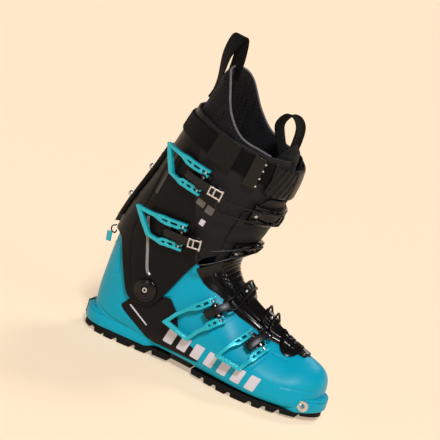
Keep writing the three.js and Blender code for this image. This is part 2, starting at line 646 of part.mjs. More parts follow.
// The point at a share of the way from the axle to the handle, lifted off the surface.
function leverPoint(b, share, lift) {
  const [u, phi] = [0, 1].map((k) => b.axle[k] + (b.handle[k] - b.axle[k]) * share);
  const at = (du, dphi) => skin(u + du, phi + dphi, b.on);
  const out = at(0, 2).sub(at(0, -2)).cross(at(0.05, 0).sub(at(-0.05, 0))).normalize();
  if (out.y > 0) out.negate();
  return { point: at(0, 0).addScaledVector(out, lift), out };
}

// A buckle's own frame: its axle's place and direction (up the boot), and the way to its handle.
function buckleFrame(b) {
  const hinge = leverPoint(b, 0, AXLE_LIFT);
  const along = leverPoint(b, 0.3, AXLE_LIFT).point.sub(hinge.point).normalize();
  const axle = hinge.out.clone().cross(along).normalize();
  if (axle.z < 0) axle.negate();
  const shift = (p, across, back = 0) =>
    p.clone().addScaledVector(axle, across).addScaledVector(along, back);
  const pin = (p, half, radius, sides = 8) => rod(shift(p, -half), shift(p, half), radius, sides);
  return { hinge, along, axle, shift, pin };
}

// The lever is an open frame: two arms with round eyes on the axle, and a cross bar to pull.
function makeLever(b, f) {
  const ends = [-1, 1].map((side) => {
    const frames = [0, 0.3, 0.65, 1].map((s) => leverPoint(b, s, AXLE_LIFT + 1.5 * s));
    return {
      path: frames.map((q, i) => {
        return f.shift(q.point, side * (ARM_OFF + (i > 1 ? 1.5 : 0)), (side * b.skew * i) / 3);
      }),
      normals: frames.map((q) => q.out),
      side,
    };
  });
  const [low, high] = ends.map((e) => e.path[3]);
  const bar = high.clone().sub(low).normalize();
  const out = ends[0].normals[3];
  const grip = [low.clone().addScaledVector(bar, -2.2), high.clone().addScaledVector(bar, 2.2)];
  let lever = flatBar(grip, [out, out], 7, 3.6);
  for (const e of ends) {
    lever = lever.add(flatBar(e.path, e.normals, ARM, ARM));
    lever = lever.add(f.pin(f.shift(f.hinge.point, e.side * ARM_OFF), 2, 3.6, 12));
  }
  return lever
    .subtract(f.pin(f.hinge.point, 40, AXLE_RADIUS + GAP))
    .subtract(f.pin(linkPlace(b), 40, BAIL_RADIUS + GAP));
}
const linkPlace = (b) => leverPoint(b, 0.28, AXLE_LIFT + 0.5).point;

// The base: a plate on the shell, with two ears that hold the axle between the lever's arms.
function makeBase(b, f) {
  const foot = flatBar(
    [-0.14, 0.12].map((s) => leverPoint(b, s, 2.2).point),
    [f.hinge.out, f.hinge.out], 2 * ARM_OFF - 5.4, 2.4,
  );
  const ear = (side) => flatBar(
    [1.4, 9.4].map((h) => f.shift(leverPoint(b, 0, h).point, side * (ARM_OFF - 4.1))),
    [f.along, f.along], 2.6, 6,
  );
  return foot.add(ear(-1)).add(ear(1)).subtract(f.pin(f.hinge.point, 40, AXLE_RADIUS + GAP));
}

// The link: a pin across the lever's arms with the threaded barrel that lengthens the bail.
const barrelEnd = (b) => leverPoint(b, -b.reach, AXLE_LIFT + 5.6);
function makeLink(b, f) {
  const back = [[0.36, 1.4], [0.2, 3.2], [0, 5.2]];
  const stops = back.map(([share, more]) => leverPoint(b, share, AXLE_LIFT + more));
  stops.push(barrelEnd(b));
  return flatBar(stops.map((q) => q.point), stops.map((q) => q.out), BARREL.width, BARREL.thick)
    .add(f.pin(linkPlace(b), ARM_OFF + 2, BAIL_RADIUS));
}

// The bail: a wire from the barrel's two sides, round the ladder's teeth.
function makeBail(b, f) {
  const lift = b.under + 9.4;
  const end = barrelEnd(b).point;
  const off = BARREL.width / 2 + BAIL_RADIUS + GAP;
  const face = (share, phi, more = 0) => skin(b.ladder + share * b.spread, phi, lift + more);
  const first = b.axle[1] - (b.handle[1] - b.axle[1]) * b.reach - 10;
  const hooked = (b.ends[0] + b.ends[1]) / 2 - 4;
  const leg = (side) => [
    f.shift(end, side * off, 5), f.shift(end, side * off, -4),
    face(side, first, 1), face(side, (first + hooked) / 2, 0.4), face(side, hooked + 6),
  ];
  const tip = [face(0.7, hooked), face(-0.7, hooked)];
  return wire([...leg(1), ...tip, ...leg(-1).reverse()], BAIL_RADIUS, 24, 5);
}

// The ladder that a bail hooks on: a curved plate with teeth across it.
function makeLadder(b) {
  const base = b.under + 1.9;
  let ladder = toSolid(patch([b.ladder - b.half, b.ladder + b.half], b.ends, [base, base + 2], 2, 5));
  const count = 5;
  for (let i = 0; i < count; i++) {
    const phi = b.ends[1] + 4 + ((b.ends[0] - b.ends[1] - 18) * i) / (count - 1);
    const us = [b.ladder - 0.8 * b.half, b.ladder + 0.8 * b.half];
    ladder = ladder.add(toSolid(patch(us, [phi - 1.7, phi + 1.7], [base + 1.2, base + 4], 2, 1)));
  }
  return ladder;
}

BUCKLES.forEach((b, i) => {
  const f = buckleFrame(b);
  const name = `buckle${i + 1}`;
  place(`${name}_base`, makeBase(b, f), MATERIAL.blackSteel);
  place(`${name}_axle`, f.pin(f.hinge.point, ARM_OFF + 2.2, AXLE_RADIUS), MATERIAL.steel);
  place(`${name}_lever`, makeLever(b, f), MATERIAL.leverPaint);
  place(`${name}_link`, makeLink(b, f), MATERIAL.blackSteel);
  place(`${name}_bail`, makeBail(b, f), MATERIAL.blackSteel);
  place(`${name}_ladder`, makeLadder(b), MATERIAL.gloss);
});

// The two cuff buckles' bails carry a bright catch just past the axle.
BUCKLES.slice(0, 2).forEach((b, i) => {
  const f = buckleFrame(b);
  const near = leverPoint(b, -0.26, AXLE_LIFT + 9.4);
  const far = leverPoint(b, -0.52, AXLE_LIFT + 9.4);
  const plate = flatBar([near.point, far.point], [near.out, near.out], 14, 1.6);
  const middle = near.point.clone().lerp(far.point, 0.5);
  const [below, above] = [-4, 4].map((h) => middle.clone().addScaledVector(near.out, h));
  const hole = rod(below, above, 2.4, 8);
  place(`buckle${i + 1}_catch`, plate.subtract(hole), MATERIAL.steel);
});

export default boot;
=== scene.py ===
"""Alpine touring boot, right foot: the looks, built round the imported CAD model.

Sizes are in millimetres in the CAD frame (+X to the toe, +Y to the inner side, +Z up) and become
metres where a mesh is made.
"""

import json
import math

import bmesh
import bpy
from mathutils import Matrix, Vector


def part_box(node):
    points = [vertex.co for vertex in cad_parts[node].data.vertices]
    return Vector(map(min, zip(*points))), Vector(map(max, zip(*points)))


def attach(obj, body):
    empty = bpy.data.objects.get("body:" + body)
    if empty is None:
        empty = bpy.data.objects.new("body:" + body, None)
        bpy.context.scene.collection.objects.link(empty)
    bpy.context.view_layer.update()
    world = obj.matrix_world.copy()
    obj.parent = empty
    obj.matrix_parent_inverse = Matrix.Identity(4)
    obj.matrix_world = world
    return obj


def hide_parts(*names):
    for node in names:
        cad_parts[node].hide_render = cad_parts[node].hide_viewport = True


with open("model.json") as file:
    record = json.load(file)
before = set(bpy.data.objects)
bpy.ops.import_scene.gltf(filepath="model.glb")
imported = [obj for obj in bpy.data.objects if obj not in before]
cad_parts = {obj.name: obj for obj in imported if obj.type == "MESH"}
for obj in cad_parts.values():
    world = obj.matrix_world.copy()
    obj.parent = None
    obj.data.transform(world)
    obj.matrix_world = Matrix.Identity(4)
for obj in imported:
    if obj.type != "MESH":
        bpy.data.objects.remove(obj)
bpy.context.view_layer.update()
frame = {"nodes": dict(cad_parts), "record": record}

MM = 0.001

# ---------- the boot's form, as in part.mjs
# Sections from the toe tip round the heel and up the leg: front point (x, z), back point (x, z),
# half widths to the outer and the inner side, the exponents of the front and back halves, and how far
# down the section is widest.
FORM = [
    (252, 40.5, 252, 26, 4, 4, 2, 2, 0.5),
    (249, 49.5, 250.5, 17, 17, 17, 2.1, 2.6, 0.52),
    (240.5, 58.5, 243.5, 11.5, 29, 29, 2.1, 3.2, 0.56),
    (224.5, 65.5, 228.5, 8, 40, 39, 2.1, 4, 0.62),
    (203, 73, 208.5, 8, 47, 44.5, 2, 4.6, 0.68),
    (178, 83.5, 183.5, 8, 51.5, 47, 2, 4.8, 0.7),
    (152.5, 95, 154.5, 8.5, 51, 46, 2, 4.8, 0.68),
    (134.5, 105, 121.5, 9, 48, 43.5, 2, 4.4, 0.62),
    (122, 112.5, 87.5, 9.5, 45.5, 42, 2, 3.8, 0.56),
    (114.5, 120, 51.5, 9.5, 44, 41.5, 2.1, 3.4, 0.53),
    (110.5, 127, 13.5, 9.5, 43.5, 41.5, 2.1, 3, 0.51),
    (110, 134, -28.5, 11, 43.5, 41.5, 2.1, 2.8, 0.5),
    (111, 141, -36, 41, 43.5, 41.5, 2.1, 2.5, 0.5),
    (112.5, 148, -36, 74, 43.5, 42, 2.1, 2.4, 0.5),
    (115, 156, -34.5, 105, 43.5, 42.5, 2.1, 2.3, 0.5),
    (117, 164, -30.5, 135, 45, 44, 2.1, 2.3, 0.51),
    (120.5, 175, -22, 162.5, 47, 46, 2.1, 2.3, 0.52),
    (124, 190.5, -9.5, 194, 49, 48, 2.1, 2.3, 0.52),
    (128, 207.5, -0.5, 222, 51, 50, 2.1, 2.3, 0.52),
    (132.5, 225.5, 7, 248.5, 52.5, 51.5, 2.1, 2.3, 0.52),
    (135.5, 243.5, 14, 272.5, 53, 52.5, 2.1, 2.3, 0.52),
    (136, 259.5, 20.5, 296.5, 52, 53, 2.1, 2.3, 0.52),
    (135, 274.5, 27.5, 323, 50, 53, 2.1, 2.3, 0.52),
    (132, 288.5, 34, 349, 47, 52, 2.1, 2.3, 0.52),
]
LAST = len(FORM) - 1


def station(u):
    """A section's values at u, on a smooth curve through the rows of FORM."""
    i = min(int(u), LAST - 1)
    t = u - i
    rows = [FORM[max(0, min(LAST, k))] for k in (i - 1, i, i + 1, i + 2)]
    return [
        b + 0.5 * t * (e - a + t * (2 * a - 5 * b + 4 * e - f + t * (3 * (b - e) + f - a)))
        for a, b, e, f in zip(*rows)
    ]


_sections = {}


def section(u):
    """The section's middle, direction, half length, half widths, exponents and taper at station u."""
    if u not in _sections:
        xt, zt, xb, zb, outer, inner, front, back, widest = station(u)
        length = math.hypot(xt - xb, zt - zb)
        direction = ((xt - xb) / length, (zt - zb) / length)
        taper = math.log(0.5) / math.log(widest)
        middle = ((xt + xb) / 2, (zt + zb) / 2)
        _sections[u] = (*middle, *direction, length / 2, outer, inner, front, back, taper)
    return _sections[u]


def skin(u, phi, d):
    """The point at station u, angle phi (0 in front, 90 at the outer side) and distance d outward."""
    x, z, ex, ez, half, outer, inner, front, back, taper = section(u)
    half = max(half + d, 1)
    a = math.radians(phi)
    c, s = math.cos(a), math.sin(a)
    n = front if c > 0 else back
    along = math.copysign(abs(c) ** (2 / n), c)
    across = abs(s) ** (2 / n)
    reach = half * (1 - 2 * (0.5 - 0.5 * along) ** (1 / taper))
    y = -max(outer + d, 1) * across if s > 0 else max(inner + d, 1) * across
    shift = d * max(0, 1 - u / 3)
    return Vector((x + shift + ex * reach, y, z + ez * reach))


def last_true(test, good, bad, halvings):
    """The value nearest to `bad` at which a test still holds, found by halving."""
    for _ in range(halvings):
        middle = (good + bad) / 2
        if test(middle):
            good = middle
        else:
            bad = middle
    return good


def seen_at(x, z, side):
    """The station and angle of the point seen at (x, z) from the outer (-1) or inner (+1) side."""

    def cross(u):
        q = section(u)
        return q[2] * (z - q[1]) - q[3] * (x - q[0])

    for k in range(4 * LAST):
        start, end = k / 4, (k + 1) / 4
        if cross(start) * cross(end) > 0:
            continue
        u = last_true(lambda v: cross(start) * cross(v) > 0, start, end, 18)
        q = section(u)
        s = 0.5 - ((x - q[0]) * q[2] + (z - q[1]) * q[3]) / (2 * q[4])
        if not 0 <= s <= 1:
            continue
        along = 1 - 2 * s ** q[9]
        n = q[7] if along > 0 else q[8]
        turn = math.acos(math.copysign(abs(along) ** (n / 2), along))
        return u, -side * math.degrees(turn)
    raise ValueError(f"nothing over {x}, {z}")


def lifted(u, phi, d, lift):
    """The point at a true distance off the surface at d, and the outward normal there."""
    a = skin(u, phi + 2, d) - skin(u, phi - 2, d)
    b = skin(u + 0.05, phi, d) - skin(u - 0.05, phi, d)
    out = a.cross(b).normalized()
    if out.y > 0:
        out.negate()
    return skin(u, phi, d) + out * lift, out


# ---------- side view shapes
def ease(t):
    """A smooth step from 0 to 1 as t goes from 0 to 1."""
    t = max(0.0, min(1.0, t))
    return t * t * (3 - 2 * t)


def lerp(a, b, t):
    return a + (b - a) * t


def rounded(outline, passes=2, share=0.25):
    """A closed outline with its corners cut round."""
    for _ in range(passes):
        cut = []
        for (ax, az), (bx, bz) in zip(outline, outline[1:] + outline[:1]):
            cut.append((lerp(ax, bx, share), lerp(az, bz, share)))
            cut.append((lerp(bx, ax, share), lerp(bz, az, share)))
        outline = cut
    return outline


def inside(outline, x, z):
    """Whether (x, z) is inside a closed outline."""
    hit = False
    for (ax, az), (bx, bz) in zip(outline, outline[1:] + outline[:1]):
        if (az > z) != (bz > z) and x < ax + (z - az) * (bx - ax) / (bz - az):
            hit = not hit
    return hit


def covers(outline, u, phi):
    """Whether an outline in the side view covers the surface at station u and angle phi."""
    p = skin(min(u, LAST), phi, 0)
    return inside(outline, p.x, p.z)


def line_distance(line, x, z):
    """How far (x, z) is from an open line of points."""
    best = 1e9
    for (ax, az), (bx, bz) in zip(line, line[1:]):
        dx, dz = bx - ax, bz - az
        t = max(0.0, min(1.0, ((x - ax) * dx + (z - az) * dz) / (dx * dx + dz * dz)))
        best = min(best, math.hypot(x - ax - t * dx, z - az - t * dz))
    return best


def edge_distance(outline, x, z):
    """Signed distance from a closed outline, positive inside."""
    away = line_distance(outline + outline[:1], x, z)
    return away if inside(outline, x, z) else -away


def groove(line, x, z, width, depth):
    """A round-bottomed groove (depth < 0) or ridge along a line."""
    return depth * (1 - ease(line_distance(line, x, z) / width))


# ---------- making pieces
BODY_OF = {n: b for b, ns in frame["record"]["behaviour"]["bodies"].items() for n in ns}
SMOOTH_ANGLE = math.radians(38)
FLAT_ANGLE = math.radians(2)


def settle(piece, material, nodes=(), body=None):
    """Gives a piece its material, shading and body, and hides the CAD nodes that it stands for."""
    piece.data.materials.clear()
    piece.data.materials.append(material)
    for p in piece.data.polygons:
        p.use_smooth = True
        p.material_index = 0
    piece.data.set_sharp_from_angle(angle=SMOOTH_ANGLE)
    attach(piece, body or BODY_OF[nodes[0]])
    if nodes:
        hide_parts(*nodes)
    return piece


def link(name, mesh):
    piece = bpy.data.objects.new(name, mesh)
    bpy.context.scene.collection.objects.link(piece)
    return piece


def solid_piece(name, bm):
    """A new object from an edited mesh, with its faces turned outward."""
    bmesh.ops.recalc_face_normals(bm, faces=bm.faces)
    mesh = bpy.data.meshes.new(name)
    bm.to_mesh(mesh)
    bm.free()
    return link(name, mesh)


def apply_modifiers(piece):
    bpy.context.view_layer.update()
    evaluated = piece.evaluated_get(bpy.context.evaluated_depsgraph_get())
    done = bpy.data.meshes.new_from_object(evaluated)
    old = piece.data
    piece.modifiers.clear()
    piece.data = done
    bpy.data.meshes.remove(old)


def add_bevel(piece, width, segments, angle=None):
    """Rounds the edges sharper than an angle or, with no angle given, the weighted ones."""
    bevel = piece.modifiers.new("bevel", "BEVEL")
    bevel.width = width * MM
    bevel.segments = segments
    bevel.limit_method = "ANGLE" if angle else "WEIGHT"
    if angle:
        bevel.angle_limit = math.radians(angle)
    bevel.use_clamp_overlap = bool(angle)
    bevel.miter_outer = "MITER_ARC"
    apply_modifiers(piece)


def from_points(name, points, faces, rims=(), lip=0.0):
    """A mesh from points in millimetres. `rims` are the numbers of the faces that close its edges, which
    are rounded by `lip`."""
    bm = bmesh.new()
    verts = [bm.verts.new(p * MM) for p in points]
    rims = set(rims)
    rim_faces = set()
    for i, f in enumerate(faces):
        corners = list(dict.fromkeys(f))
        if len(corners) < 3:
            continue
        face = bm.faces.new([verts[k] for k in corners])
        if i in rims:
            rim_faces.add(face)
    if lip:
        weight = bm.edges.layers.float.new("bevel_weight_edge")
        for face in rim_faces:
            for e in face.edges:
                if any(g not in rim_faces for g in e.link_faces):
                    e[weight] = 1.0
    bmesh.ops.remove_doubles(bm, verts=bm.verts, dist=0.01 * MM)
    piece = solid_piece(name, bm)
    if lip:
        add_bevel(piece, lip, 3)
    return piece


def grid_solid(name, grid, outer, inner, lip=0.0, wrap=False, open_from=0, cap=False):
    """A plate over a grid of (u, phi), between two distances, which are numbers or functions of (u, phi)
    that give a distance or the point itself. Rows before `open_from` meet themselves at the seam."""
    rows, cols = len(grid), len(grid[0])

    def place(f, u, phi):
        v = f(u, phi) if callable(f) else f
        return v if isinstance(v, Vector) else skin(u, phi, v)

    points = [place(outer, *q) for row in grid for q in row]
    points += [place(inner, *q) for row in grid for q in row]
    half = rows * cols
    faces, rims = [], []
    across = cols if wrap else cols - 1
    for i in range(rows - 1):
        for j in range(across):
            a, b = i * cols + j, i * cols + (j + 1) % cols
            c, d = b + cols, a + cols
            faces += [(a, b, c, d), (half + d, half + c, half + b, half + a)]
    ends = [rows - 1] if cap else [0, rows - 1]
    for i in ends:
        for j in range(across):
            a, b = i * cols + j, i * cols + (j + 1) % cols
            rims.append(len(faces))
            faces.append((a, b, half + b, half + a))
    if cap:
        for start, ring in ((0, range(cols)), (half, range(cols))):
            points.append(sum((points[start + j] for j in ring), Vector()) / cols)
            for j in range(cols if wrap or open_from else cols - 1):
                faces.append((start + j, start + (j + 1) % cols, len(points) - 1))
    if not wrap:
        for j in (0, cols - 1):
            for i in range(open_from, rows - 1):
                a, b = i * cols + j, (i + 1) * cols + j
                rims.append(len(faces))
                faces.append((a, b, half + b, half + a))
    return from_points(name, points, faces, rims, lip)


def steps(a, b, n):
    """n + 1 even steps from a to b."""
    return [a + (b - a) * i / n for i in range(n + 1)]


def disc_solid(name, rings, middle, high, low, lip=0.0):
    """A plate over rings of (u, phi) round a middle, the innermost first, between the distances
    high(u, phi) and low."""
    around = len(rings[0])
    places = [q for ring in rings for q in ring]
    half = len(places)
    points = [skin(*q, high(*q)) for q in places] + [skin(*q, low) for q in places]
    points += [skin(*middle, high(*middle)), skin(*middle, low)]
    rim_start = half - around
    faces, rims = [], []
    for j in range(around):
        k = (j + 1) % around
        for start in range(0, rim_start, around):
            a, b, c, d = start + j, start + k, start + around + k, start + around + j
            faces += [(a, b, c, d), (half + d, half + c, half + b, half + a)]
        faces += [(j, k, len(points) - 2), (half + k, half + j, len(points) - 1)]
        rims.append(len(faces))
        a, b = rim_start + j, rim_start + k
        faces.append((a, b, half + b, half + a))
    return from_points(name, points, faces, rims, lip)


def side_patch(name, outline, side, high, low, rings, around, lip=0.0, centre=None, soft=0.1):
    """A plate on the boot's side, whose outline is given in the side view."""
    outline = rounded(outline, 1, soft)
    if centre is None:
        centre = [sum(p[k] for p in outline) / len(outline) for k in (0, 1)]
    loop = outline + outline[:1]
    lengths = [math.dist(a, b) for a, b in zip(loop, loop[1:])]
    total = sum(lengths)
    edge = []
    i, done = 0, 0.0
    for k in range(around):
        want = total * k / around
        while done + lengths[i] < want:
            done += lengths[i]
            i += 1
        t = (want - done) / lengths[i]
        edge.append([lerp(loop[i][c], loop[i + 1][c], t) for c in (0, 1)])
    grid = []
    for r in range(1, rings + 1):
        share = (r / rings) ** 0.8
        grid.append([seen_at(*[lerp(centre[c], e[c], share) for c in (0, 1)], side) for e in edge])
    return disc_solid(name, grid, seen_at(*centre, side), lambda u, phi: high, low, lip)


def refined(node, material, width, segments=2, angle=28):
    """A CAD node's own solid with rounded edges."""
    mesh = frame["nodes"][node].data.copy()
    bm = bmesh.new()
    bm.from_mesh(mesh)
    bmesh.ops.remove_doubles(bm, verts=bm.verts, dist=0.02 * MM)
    bmesh.ops.dissolve_limit(bm, angle_limit=FLAT_ANGLE, verts=bm.verts, edges=bm.edges)
    bm.to_mesh(mesh)
    bm.free()
    piece = link(node + "_fine", mesh)
    add_bevel(piece, width, segments, angle)
    return settle(piece, material, [node])


def remesh(piece, voxel, passes):
    """Melts overlapping solids into one, with soft edges."""
    modifier = piece.modifiers.new("remesh", "REMESH")
    modifier.mode = "VOXEL"
    modifier.voxel_size = voxel * MM
    soften = piece.modifiers.new("soften", "SMOOTH")
    soften.factor = 0.5
    soften.iterations = passes
    apply_modifiers(piece)


def heading(path, i):
    """The direction of a path at its point i."""
    return (path[min(i + 1, len(path) - 1)] - path[max(i - 1, 0)]).normalized()


def circle(count):
    """Even steps round a unit circle."""
    turns = [2 * math.pi * k / count for k in range(count)]
    return [(math.cos(a), math.sin(a)) for a in turns]


SQUARE = ((1, -1), (1, 1), (-1, 1), (-1, -1))


def bar_rings(path, outs, width, thick, corners=SQUARE):
    """Rings of a bar along a path, with an outward normal at each point and one width or one for each."""
    rings = []
    for i, p in enumerate(path):
        along = heading(path, i)
        across = outs[i].cross(along).normalized()
        out = along.cross(across)
        w = width[i] if isinstance(width, list) else width
        rings.append([p + across * (s * w / 2) + out * (h * thick / 2) for s, h in corners])
    return rings


def tube(rings):
    """Points and faces of a closed body through rings."""
    n = len(rings[0])
    points = [p for r in rings for p in r]
    last = len(points) - n
    faces = []
    for start in range(0, last, n):
        for i in range(n):
            j = (i + 1) % n
            faces.append((start + i, start + j, start + n + j, start + n + i))
    faces += [tuple(range(n)), tuple(range(last, last + n))]
    return points, faces


def several(name, solids):
    """One mesh from several closed bodies."""
    points, faces = [], []
    for p, f in solids:
        faces += [tuple(k + len(points) for k in face) for face in f]
        points = points + p
    bm = bmesh.new()
    verts = [bm.verts.new(p * MM) for p in points]
    for f in faces:
        bm.faces.new([verts[k] for k in f])
    return solid_piece(name, bm)


def smooth_path(points, per_span=8):
    """Points on a smooth curve through the given ones."""
    ends = [points[0] * 2 - points[1]] + points + [points[-1] * 2 - points[-2]]
    path = []
    for a, b, c, d in zip(ends, ends[1:], ends[2:], ends[3:]):
        for k in range(per_span):
            t = k / per_span
            bend = (a * 2 - b * 5 + c * 4 - d) + ((b - c) * 3 + d - a) * t
            path.append(b + ((c - a) + bend * t) * (t / 2))
    return path + [points[-1]]


def round_wire(points, radius, per_span, sides):
    """A round bar along a smooth path."""
    path = smooth_path(points, per_span)
    out = (path[1] - path[0]).orthogonal().normalized()
    outs = []
    for i in range(len(path)):
        along = heading(path, i)
        out = (out - along * out.dot(along)).normalized()
        outs.append(out)
    return tube(bar_rings(path, outs, 2 * radius, 2 * radius, circle(sides)))


def lathe(profile, centre, axis, sides=64):
    """A turned body: profile of (radius, height) from axis to axis."""
    axis = axis.normalized()
    x = axis.orthogonal().normalized()
    y = axis.cross(x)
    n = len(profile)
    points = []
    for cosine, sine in circle(sides):
        way = x * cosine + y * sine
        points += [centre + way * r + axis * h for r, h in profile]
    faces = []
    for k in range(sides):
        up = (k + 1) % sides
        for i in range(n - 1):
            faces.append((k * n + i, k * n + i + 1, up * n + i + 1, up * n + i))
    return points, faces


# ---------- materials
class Nodes:
    """A short way to write a material's nodes."""

    def __init__(self, name, color, roughness, metallic=0.0, **sockets):
        self.material = bpy.data.materials.new(name)
        self.material.use_nodes = True
        self.tree = self.material.node_tree
        self.shader = self.tree.nodes["Principled BSDF"]
        self.set(self.shader, "Base Color", (*color, 1))
        self.set(self.shader, "Roughness", roughness)
        self.set(self.shader, "Metallic", metallic)
        for key, value in sockets.items():
            self.set(self.shader, key.replace("_", " "), value)
        self.place = self.new("ShaderNodeTexCoord").outputs["Object"]
        self.height = None
        self.color = color

    def new(self, kind, **values):
        node = self.tree.nodes.new(kind)
        for key, value in values.items():
            if hasattr(node, key):
                setattr(node, key, value)
            else:
                self.set(node, key.replace("_", " "), value)
        return node

    def set(self, node, socket, value):
        if isinstance(value, bpy.types.NodeSocket):
            self.tree.links.new(value, node.inputs[socket])
        else:
            node.inputs[socket].default_value = value

    def noise(self, scale, detail=3, stretch=(1, 1, 1)):
        place = self.new("ShaderNodeMapping", Vector=self.place, Scale=stretch).outputs[0]
        return self.new("ShaderNodeTexNoise", Vector=place, Scale=scale, Detail=detail).outputs["Fac"]

    def wave(self, scale, direction, turn):
        place = self.new("ShaderNodeMapping", Vector=self.place, Rotation=turn).outputs[0]
        wave = self.new("ShaderNodeTexWave", Vector=place, Scale=scale, bands_direction=direction)
        return wave.outputs["Fac"]

    def math(self, operation, a, b):
        node = self.new("ShaderNodeMath", operation=operation)
        self.set(node, 0, a)
        self.set(node, 1, b)
        return node.outputs[0]

    def spread(self, value, low, high):
        return self.new("ShaderNodeMapRange", Value=value, To_Min=low, To_Max=high).outputs[0]

    def tint(self, fac, dark, light):
        """Colour between two shares of the base colour."""
        ramp = self.new("ShaderNodeMix", data_type="RGBA")
        self.tree.links.new(fac, ramp.inputs["Factor"])
        ramp.inputs["A"].default_value = (*[c * dark for c in self.color], 1)
        ramp.inputs["B"].default_value = (*[min(1, c * light) for c in self.color], 1)
        self.set(self.shader, "Base Color", ramp.outputs["Result"])

    def rough(self, fac, low, high):
        self.set(self.shader, "Roughness", self.spread(fac, low, high))

    def bump(self, height, strength, distance):
        node = self.new("ShaderNodeBump", Height=height, Strength=strength, Distance=distance * MM)
        if self.height is not None:
            self.set(node, "Normal", self.height)
        self.height = node.outputs[0]
        self.set(self.shader, "Normal", self.height)


def moulded(name, color, roughness, grain=0.12, vary=0.12, **sockets):
    """Injection moulded plastic: fine grain, faint flow marks and handling marks in the gloss."""
    n = Nodes(name, color, roughness, **sockets)
    n.tint(n.noise(22, 4), 1 - vary, 1 + vary)
    n.rough(n.noise(60, 5), roughness - 0.07, roughness + 0.09)
    n.bump(n.noise(900, 2), grain, 0.05)
    n.bump(n.noise(9, 1), 0.06, 0.6)
    return n.material


def metal(name, color, roughness):
    """Steel with brushing along Z."""
    stretch = (1, 1, 12)
    n = Nodes(name, color, roughness, metallic=1.0)
    n.tint(n.noise(160, 4), 0.8, 1.15)
    n.rough(n.noise(420, 3, stretch), roughness - 0.08, roughness + 0.12)
    n.bump(n.noise(700, 2, stretch), 0.1, 0.03)
    return n.material


def lacquered(name, color):
    """Anodised and lacquered cast lever: coloured metal under a clear coat, worn a little lighter."""
    n = Nodes(name, color, 0.34, metallic=0.25, Coat_Weight=0.35, Coat_Roughness=0.15)
    n.tint(n.noise(90, 4), 0.85, 1.15)
    n.rough(n.noise(240, 3), 0.26, 0.42)
    n.bump(n.noise(520, 2), 0.1, 0.04)
    return n.material


def rubber(name, color):
    """Sole rubber: dull, dusty and coarse."""
    n = Nodes(name, color, 0.72, Specular_IOR_Level=0.15)
    n.tint(n.noise(40, 5), 0.75, 1.4)
    n.rough(n.noise(130, 4), 0.62, 0.86)
    n.bump(n.noise(650, 3), 0.25, 0.12)
    return n.material


def woven(name, color, pitch, sheen):
    """Webbing or cloth: warp and weft waves, crossed and turned for a twill."""
    twill = 0.6
    n = Nodes(name, color, 0.82, Sheen_Weight=sheen, Sheen_Roughness=0.5, Specular_IOR_Level=0.12)
    warp = n.wave(1 / pitch, "X", (0, twill, 0.3))
    weft = n.wave(1 / pitch, "Z", (0.3, twill, 0))
    weave = n.math("MULTIPLY", warp, weft)
    n.tint(n.math("ADD", weave, n.spread(n.noise(45, 4), -0.2, 0.3)), 0.6, 1.7)
    n.bump(weave, 0.5, 0.35)
    n.bump(n.noise(1400, 2), 0.2, 0.08)
    return n.material


def knitted(name, color, cell):
    """Spacer mesh: round holes in a soft textile."""
    n = Nodes(name, color, 0.9, Sheen_Weight=0.04, Sheen_Roughness=0.45, Specular_IOR_Level=0.12)
    cells = n.new("ShaderNodeTexVoronoi", Vector=n.place, Scale=1 / cell, Randomness=0.15)
    pits = n.spread(cells.outputs["Distance"], 0.0, 1.3)
    n.tint(pits, 0.35, 2.2)
    n.bump(pits, 0.8, 0.7)
    n.bump(n.noise(1600, 2), 0.2, 0.08)
    return n.material


TURQUOISE = (0.0, 0.34, 0.52)
CYAN = (0.0, 0.43, 0.56)
CHARCOAL = (0.0032, 0.0032, 0.0042)
BLACK = (0.003, 0.003, 0.0036)
SHELL = moulded("shell_plastic", TURQUOISE, 0.36, vary=0.06, Specular_IOR_Level=0.16)
CUFF_PLASTIC = moulded("cuff_plastic", CHARCOAL, 0.36, vary=0.1, Specular_IOR_Level=0.14)
CUFF_FRONT = moulded("cuff_front_plastic", (0.0125, 0.0122, 0.015), 0.48, vary=0.1, Specular_IOR_Level=0.14)
# The rear ribs' light grey is a painted highlight: it stands in for the glint along a glossy rib.
RIB_PAINTED_GLINT = moulded("rib_painted_glint", (0.22, 0.22, 0.24), 0.15, grain=0.0, Coat_Weight=0.5)
INLAY = moulded("inlay_plastic", (0.006, 0.005, 0.0055), 0.5, grain=0.3, Specular_IOR_Level=0.14)
GLOSS = moulded("gloss_plastic", BLACK, 0.17, grain=0.05, Specular_IOR_Level=0.3)
DULL = moulded("trim_plastic", BLACK, 0.38, Specular_IOR_Level=0.2)
RUBBER = rubber("sole_rubber", (0.0045, 0.0045, 0.005))
LEVER = lacquered("lever_lacquer", CYAN)
TAB = moulded("tab_plastic", CYAN, 0.4)
STEEL = metal("bright_steel", (0.62, 0.62, 0.64), 0.28)
BLACK_STEEL = metal("black_steel", (0.03, 0.03, 0.034), 0.34)
WEBBING = woven("webbing", (0.003, 0.003, 0.0035), 0.0011, sheen=0.02)
CLOTH = woven("liner_cloth", (0.005, 0.005, 0.0058), 0.0008, sheen=0.08)
MESH_LINING = knitted("mesh_lining", (0.0055, 0.0052, 0.0062), 0.0042)
PIPING = woven("grey_piping", (0.15, 0.145, 0.165), 0.0024, sheen=0.1)
GREY_SATIN = moulded("grey_satin", (0.03, 0.03, 0.034), 0.3)
PRINT = moulded("pale_print", (0.62, 0.6, 0.7), 0.45, vary=0.03)
GREY_PRINT = moulded("grey_print", (0.12, 0.12, 0.125), 0.45, vary=0.05)
STRAP_RUBBER = moulded("strap_rubber", (0.003, 0.003, 0.0035), 0.34, Specular_IOR_Level=0.22)

